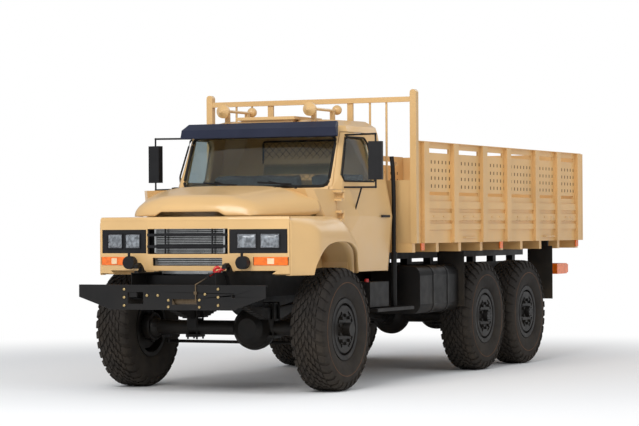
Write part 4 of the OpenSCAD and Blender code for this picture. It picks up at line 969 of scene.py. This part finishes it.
@dataclass
class BedDress(Assembly):
    """Small holes, cleats and handles of the load bed's side boards."""

    post_y: tuple[float, ...] = (-0.776, 0.0206, 0.841, 1.562, 2.463, 3.190, 3.807)
    skin: float = 1.120

    def build(self) -> None:
        """Makes the dark holes and the fittings."""
        holes, cleats = [], []
        for a, b in zip(self.post_y[:-1], self.post_y[1:]):
            lo, hi = a + 0.063 + 0.05, b - 0.063 - 0.05
            count = max(4, int((hi - lo) / 0.078))
            y = np.linspace(lo, hi, count)
            for z in (2.142, 2.060, 1.981, 1.902):
                holes.append(np.stack([np.full(count, self.skin), y, np.full(count, z)], -1))
            for share in (0.28, 0.72):
                cleats.append([self.skin + 0.012, lo + (hi - lo) * share, 1.600])
        feet = np.concatenate(holes)
        inner = feet - [0.0185, 0, 0]
        dark = Surface.joined([boxes(feet, (0.0012, 0.021, 0.033)), boxes(inner, (0.0012, 0.021, 0.033))])
        self.piece(dark.both(), "bed_side_holes", HOLE)
        cleats = np.array(cleats)
        bars = boxes(cleats, (0.020, 0.105, 0.014))
        feet = Surface.joined([boxes(cleats + [-0.004, s * 0.045, -0.018], (0.016, 0.014, 0.050)) for s in (-1, 1)])
        self.piece(Surface.joined([bars, feet]).both(), "bed_cleats", BED)
        grips = []
        for k in (1, 4):
            y = (self.post_y[k] + self.post_y[k + 1]) / 2
            grips.append(tube([[self.skin, y - 0.16, 1.385], [self.skin + 0.024, y - 0.145, 1.385],
                               [self.skin + 0.024, y + 0.145, 1.385], [self.skin, y + 0.16, 1.385]], 0.008))
        self.piece(Surface.joined(grips).both(), "bed_grips", BED)


@dataclass
class Seats(Assembly):
    """Two padded seats: crowned cushions with piping and stitched channels on plain boxes."""

    wide: tuple[tuple[float, float], ...] = ((0.262, 0.778), (-0.798, 0.118))
    channel: float = 0.115
    steps: int = 40

    def cushion(self, size: Array, crown: float) -> Surface:
        """A crowned cushion about the origin: a box whose corners are rounded by a radius, whose upper and lower
        faces bulge with one minus the squares of their coordinates, and whose top has stitched grooves.

        Args:
            size: Its width, depth and thickness.
            crown: How much its middle rises.

        Returns:
            The closed surface.
        """
        half = np.asarray(size) / 2
        round_off = 0.45 * half[2]
        t = crowded(self.steps, 1.3)
        u, v = np.meshgrid(t, t, indexing="ij")
        one = np.ones_like(u)
        sides = []
        for axis in range(3):
            for sign in (-1.0, 1.0):
                cube = [u, v, u]
                cube[axis], cube[(axis + 1) % 3], cube[(axis + 2) % 3] = sign * one, u, v
                p = np.stack(cube, -1) * half
                inner = np.clip(p, -(half - round_off), half - round_off)
                out = p - inner
                length = np.linalg.norm(out, axis=-1, keepdims=True)
                sides.append(grid(inner + round_off * out / np.maximum(length, 1e-9)))
        block = Surface.joined(sides)
        a, b, c = (block.verts / half).T
        bulge = crown * np.clip(1 - a**2, 0, 1) ** 0.6 * np.clip(1 - b**2, 0, 1) ** 0.6
        count = max(2, round(2 * half[0] / self.channel))
        wave = np.abs((a * 0.5 + 0.5) * count - np.round((a * 0.5 + 0.5) * count)) / count * 2 * half[0]
        groove = 0.007 * np.exp(-((wave / 0.006) ** 2)) * (np.abs(a) < 0.9) * np.clip((0.9 - np.abs(b)) / 0.1, 0, 1)
        block.verts[:, 2] += np.where(c > 0, (bulge - groove) * np.clip(c, 0, 1), 0)
        block.verts[:, 1] += 0.008 * np.sin(7 * a) * (np.abs(b) > 0.95) * (1 - np.abs(c))
        return block

    def build(self) -> None:
        """Makes cushions, piping and boxes."""
        made, firm = [], []
        for lo, hi in self.wide:
            x, width = (lo + hi) / 2, hi - lo
            squab = self.cushion(np.array([width, 0.50, 0.125]), 0.020)
            back = self.cushion(np.array([width, 0.52, 0.095]), 0.014)
            lean = math.radians(102.5)
            turn = np.array([[1, 0, 0], [0, math.cos(lean), -math.sin(lean)], [0, math.sin(lean), math.cos(lean)]])
            made.append(Surface(squab.verts + [x, -1.770, 1.428], squab.faces))
            made.append(Surface(back.verts @ turn.T + [x, -1.452, 1.745], back.faces))
            firm.append(boxes([[x, -1.78, 1.25]], (width - 0.06, 0.40, 0.216)))
            firm.append(boxes([[x, -1.432, 1.50]], (width - 0.08, 0.03, 0.22)))
            loop = CabTrim.rounded([[lo + 0.012, -2.008], [hi - 0.012, -2.008], [hi - 0.012, -1.532],
                                    [lo + 0.012, -1.532]], 0.03)
            for z in (1.462, 1.394):
                firm.append(tube(np.column_stack([loop, np.full(len(loop), z)]), 0.0035, 6, closed=True))
        cushions = self.piece(Surface.joined(made), "seat_cushions", SEAT, smooth=60)
        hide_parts("seats")
        self.piece(Surface.joined(firm), "seat_boxes_and_piping", PLASTIC)


class Stage:
    """Camera, lights, floor and world."""

    eye: Point = (10.102, -22.083, 1.482)
    yaw: float = math.radians(25.400)
    pitch: float = math.radians(-0.387)
    roll: float = math.radians(-0.325)
    lens: float = 131.84
    reach: float = 9.0

    def camera(self) -> None:
        """Places the camera from its yaw, pitch and roll."""
        cos_p, sin_p = math.cos(self.pitch), math.sin(self.pitch)
        ahead = Vector((-math.sin(self.yaw) * cos_p, math.cos(self.yaw) * cos_p, -sin_p))
        right = Vector((math.cos(self.yaw), math.sin(self.yaw), 0))
        up = right.cross(ahead)
        side = right * math.cos(self.roll) + up * math.sin(self.roll)
        top = up * math.cos(self.roll) - right * math.sin(self.roll)
        data = bpy.data.cameras.new("camera")
        data.lens, data.sensor_width = self.lens, 36
        data.clip_start, data.clip_end = 0.5, 200
        cam = bpy.data.objects.new("camera", data)
        bpy.context.scene.collection.objects.link(cam)
        basis = Matrix((side, top, -ahead)).transposed().to_4x4()
        cam.matrix_world = Matrix.Translation(self.eye) @ basis
        bpy.context.scene.camera = cam

    def light(self) -> None:
        """Makes the soft sky, a broad key lamp and the pale floor."""
        scene = bpy.context.scene
        scene.view_settings.view_transform = "Standard"
        world = bpy.data.worlds.new("studio")
        world.use_nodes = True
        scene.world = world
        tree = world.node_tree
        sky = tree.nodes["Background"]
        sky.inputs["Color"].default_value = (0.93, 0.96, 1.0, 1)
        sky.inputs["Strength"].default_value = 0.50
        white = add_node(tree, "Background", {"Color": (1, 1, 1, 1), "Strength": 1.0})
        ray = add_node(tree, "LightPath", {}).outputs["Is Camera Ray"]
        mix = add_node(tree, "MixShader", {0: ray, 1: sky.outputs[0], 2: white.outputs[0]})
        tree.links.new(mix.outputs[0], tree.nodes["World Output"].inputs[0])
        for name, energy, place, size in (("key", 1350, (1, -14, 10), 7), ("side", 390, (13, -8, 9), 8),
                                          ("back", 350, (3, 12, 10), 9)):
            data = bpy.data.lights.new(name, "AREA")
            data.energy, data.size = energy, size
            lamp = bpy.data.objects.new(name, data)
            lamp.location = place
            lamp.rotation_euler = (Vector((0, 0, 1)) - Vector(place)).to_track_quat("-Z", "Y").to_euler()
            scene.collection.objects.link(lamp)
        edge = 90.0
        floor = bpy.data.meshes.new("floor")
        corners = [(-edge, -edge, 0), (edge, -edge, 0), (edge, edge, 0), (-edge, edge, 0)]
        floor.from_pydata(corners, [], [(0, 1, 2, 3)])
        mat = bpy.data.materials.new("pale_floor")
        mat.use_nodes = True
        tree = mat.node_tree
        shader = tree.nodes["Principled BSDF"]
        shader.inputs["Base Color"].default_value = (0.94, 0.94, 0.94, 1)
        shader.inputs["Roughness"].default_value = 0.9
        where = add_node(tree, "TexCoord", {}).outputs["Object"]
        place = add_node(tree, "Mapping", {"Vector": where, "Scale": (1 / self.reach, 1 / self.reach, 1)})
        fade = add_node(tree, "TexGradient", {0: place.outputs[0]}, gradient_type="SPHERICAL")
        near = {"Value": fade.outputs["Fac"], "From Max": 0.55}
        ease = add_node(tree, "MapRange", near, interpolation_type="SMOOTHSTEP")
        glow = add_node(tree, "Emission", {"Color": (1, 1, 1, 1)})
        blend = add_node(tree, "MixShader", {0: ease.outputs["Result"], 1: glow.outputs[0], 2: shader.outputs[0]})
        tree.links.new(blend.outputs[0], tree.nodes["Material Output"].inputs[0])
        floor.materials.append(mat)
        obj = bpy.data.objects.new("floor", floor)
        scene.collection.objects.link(obj)


class CadDress:
    """Gives every CAD node that stays its finish and softly rounded edges."""

    own = {"front_bumper": BUMPER, "headlamps": PLASTIC}
    zones = {
        "winch": [((0.22, -4.0, 0.78), (0.48, -3.888, 1.10), ROPE), ((0.23, -4.0, 0.90), (0.46, -3.83, 1.03), ROPE),
                  ((-0.2, -3.80, 0.80), (0.5, -3.65, 0.96), ROPE), ((0.33, -3.80, 1.03), (0.50, -3.60, 1.20), RED)],
        "fascia": [((-0.43, -3.592, 1.317), (0.43, -3.5735, 1.343), PLASTIC),
                   ((-0.43, -3.592, 1.421), (0.43, -3.5735, 1.447), PLASTIC),
                   ((-0.43, -3.5745, 1.261), (0.43, -3.5615, 1.490), PLASTIC)],
        "headlamps": [((x, -3.62, 1.3165), (x + 0.170, -3.40, 1.4385), MIRROR_BRIGHT)
                      for x in (-0.878, -0.668, 0.498, 0.708)],
        "signal_lamps": [((x, -3.66, 1.10), (x + 0.13, -3.50, 1.29), PLASTIC) for x in (-0.64, 0.51)],
        "door_left": [((0.975, -1.562, 1.585), (1.03, -1.37, 1.615), PLASTIC)],
        "door_right": [((-1.03, -1.562, 1.585), (-0.975, -1.37, 1.615), PLASTIC)],
        "battery_box": [((0.9, -4, 0.973), (0.96, 4, 1.01), RED)],
        "tail_lamps": [((x, 3.0, 0.955), (x + 0.23, 4, 1.06), ORANGE) for x in (-1.06, 0.83)],
        "hinges": [((-0.6, -2.9, 1.80), (0.6, -2.8, 1.90), BLACK), ((-0.3, -1.42, 2.50), (0.3, -1.34, 2.60), BLACK)],
        "bed_floor": [((-0.44, -2.0, 1.0), (0.44, 4.0, 1.25), BLACK)],
    }
    rounded = {"cab_shell": 0.012, "door_left": 0.006, "door_right": 0.006, "front_bumper": 0.006, "fascia": 0.005,
               "visor": 0.004, "fuel_tank": 0.01, "bed_sides": 0.003, "headboard": 0.004, "tailgate": 0.004,
               "seats": 0.03, "dashboard": 0.01, "fenders": 0.012, "battery_box": 0.006, "mirror_left": 0.02,
               "mirror_right": 0.02, "roof_hatch": 0.006}

    def build(self, frame: dict, paint: Paintbox) -> None:
        """Dresses the nodes.

        Args:
            paint: The finishes.
        """
        main = {finish.slot: finish for finish in MAIN_FINISHES}
        slots = {s["node"]: s["material_slot"] for s in frame["record"]["subparts"]}
        for node, obj in frame["nodes"].items():
            finish = self.own.get(node, main[slots[node]])
            obj.data.materials.clear()
            obj.data.materials.append(paint(finish))
            for low, high, other in self.zones.get(node, ()):
                obj.data.materials.append(paint(other))
                middle = np.array([face.center for face in obj.data.polygons])
                within = np.all((middle > low) & (middle < high), axis=1)
                for index in np.flatnonzero(within):
                    obj.data.polygons[int(index)].material_index = len(obj.data.materials) - 1
            if node in self.rounded and not obj.hide_render:
                weld = obj.modifiers.new("weld", "WELD")
                weld.merge_threshold = 0.0002
                bevel = obj.modifiers.new("edge", "BEVEL")
                bevel.width, bevel.segments = self.rounded[node], 2
                bevel.limit_method, bevel.angle_limit = "ANGLE", math.radians(28)
                bevel.harden_normals = False
            LOG.info("dressed %s", node)


def main() -> None:
    """Builds the looks in order."""
    logging.basicConfig(level=logging.INFO, format="%(name)s: %(message)s")
    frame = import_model()
    paint = Paintbox()
    stage = Stage()
    stage.camera()
    stage.light()
    for part in (RoadWheels, Bonnet, Fenders, CabTrim, Seats, FrontDress, Pole, BedDress):
        part(paint).build()
    CadDress().build(frame, paint)
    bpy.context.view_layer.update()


if __name__ == "__main__":
    main()
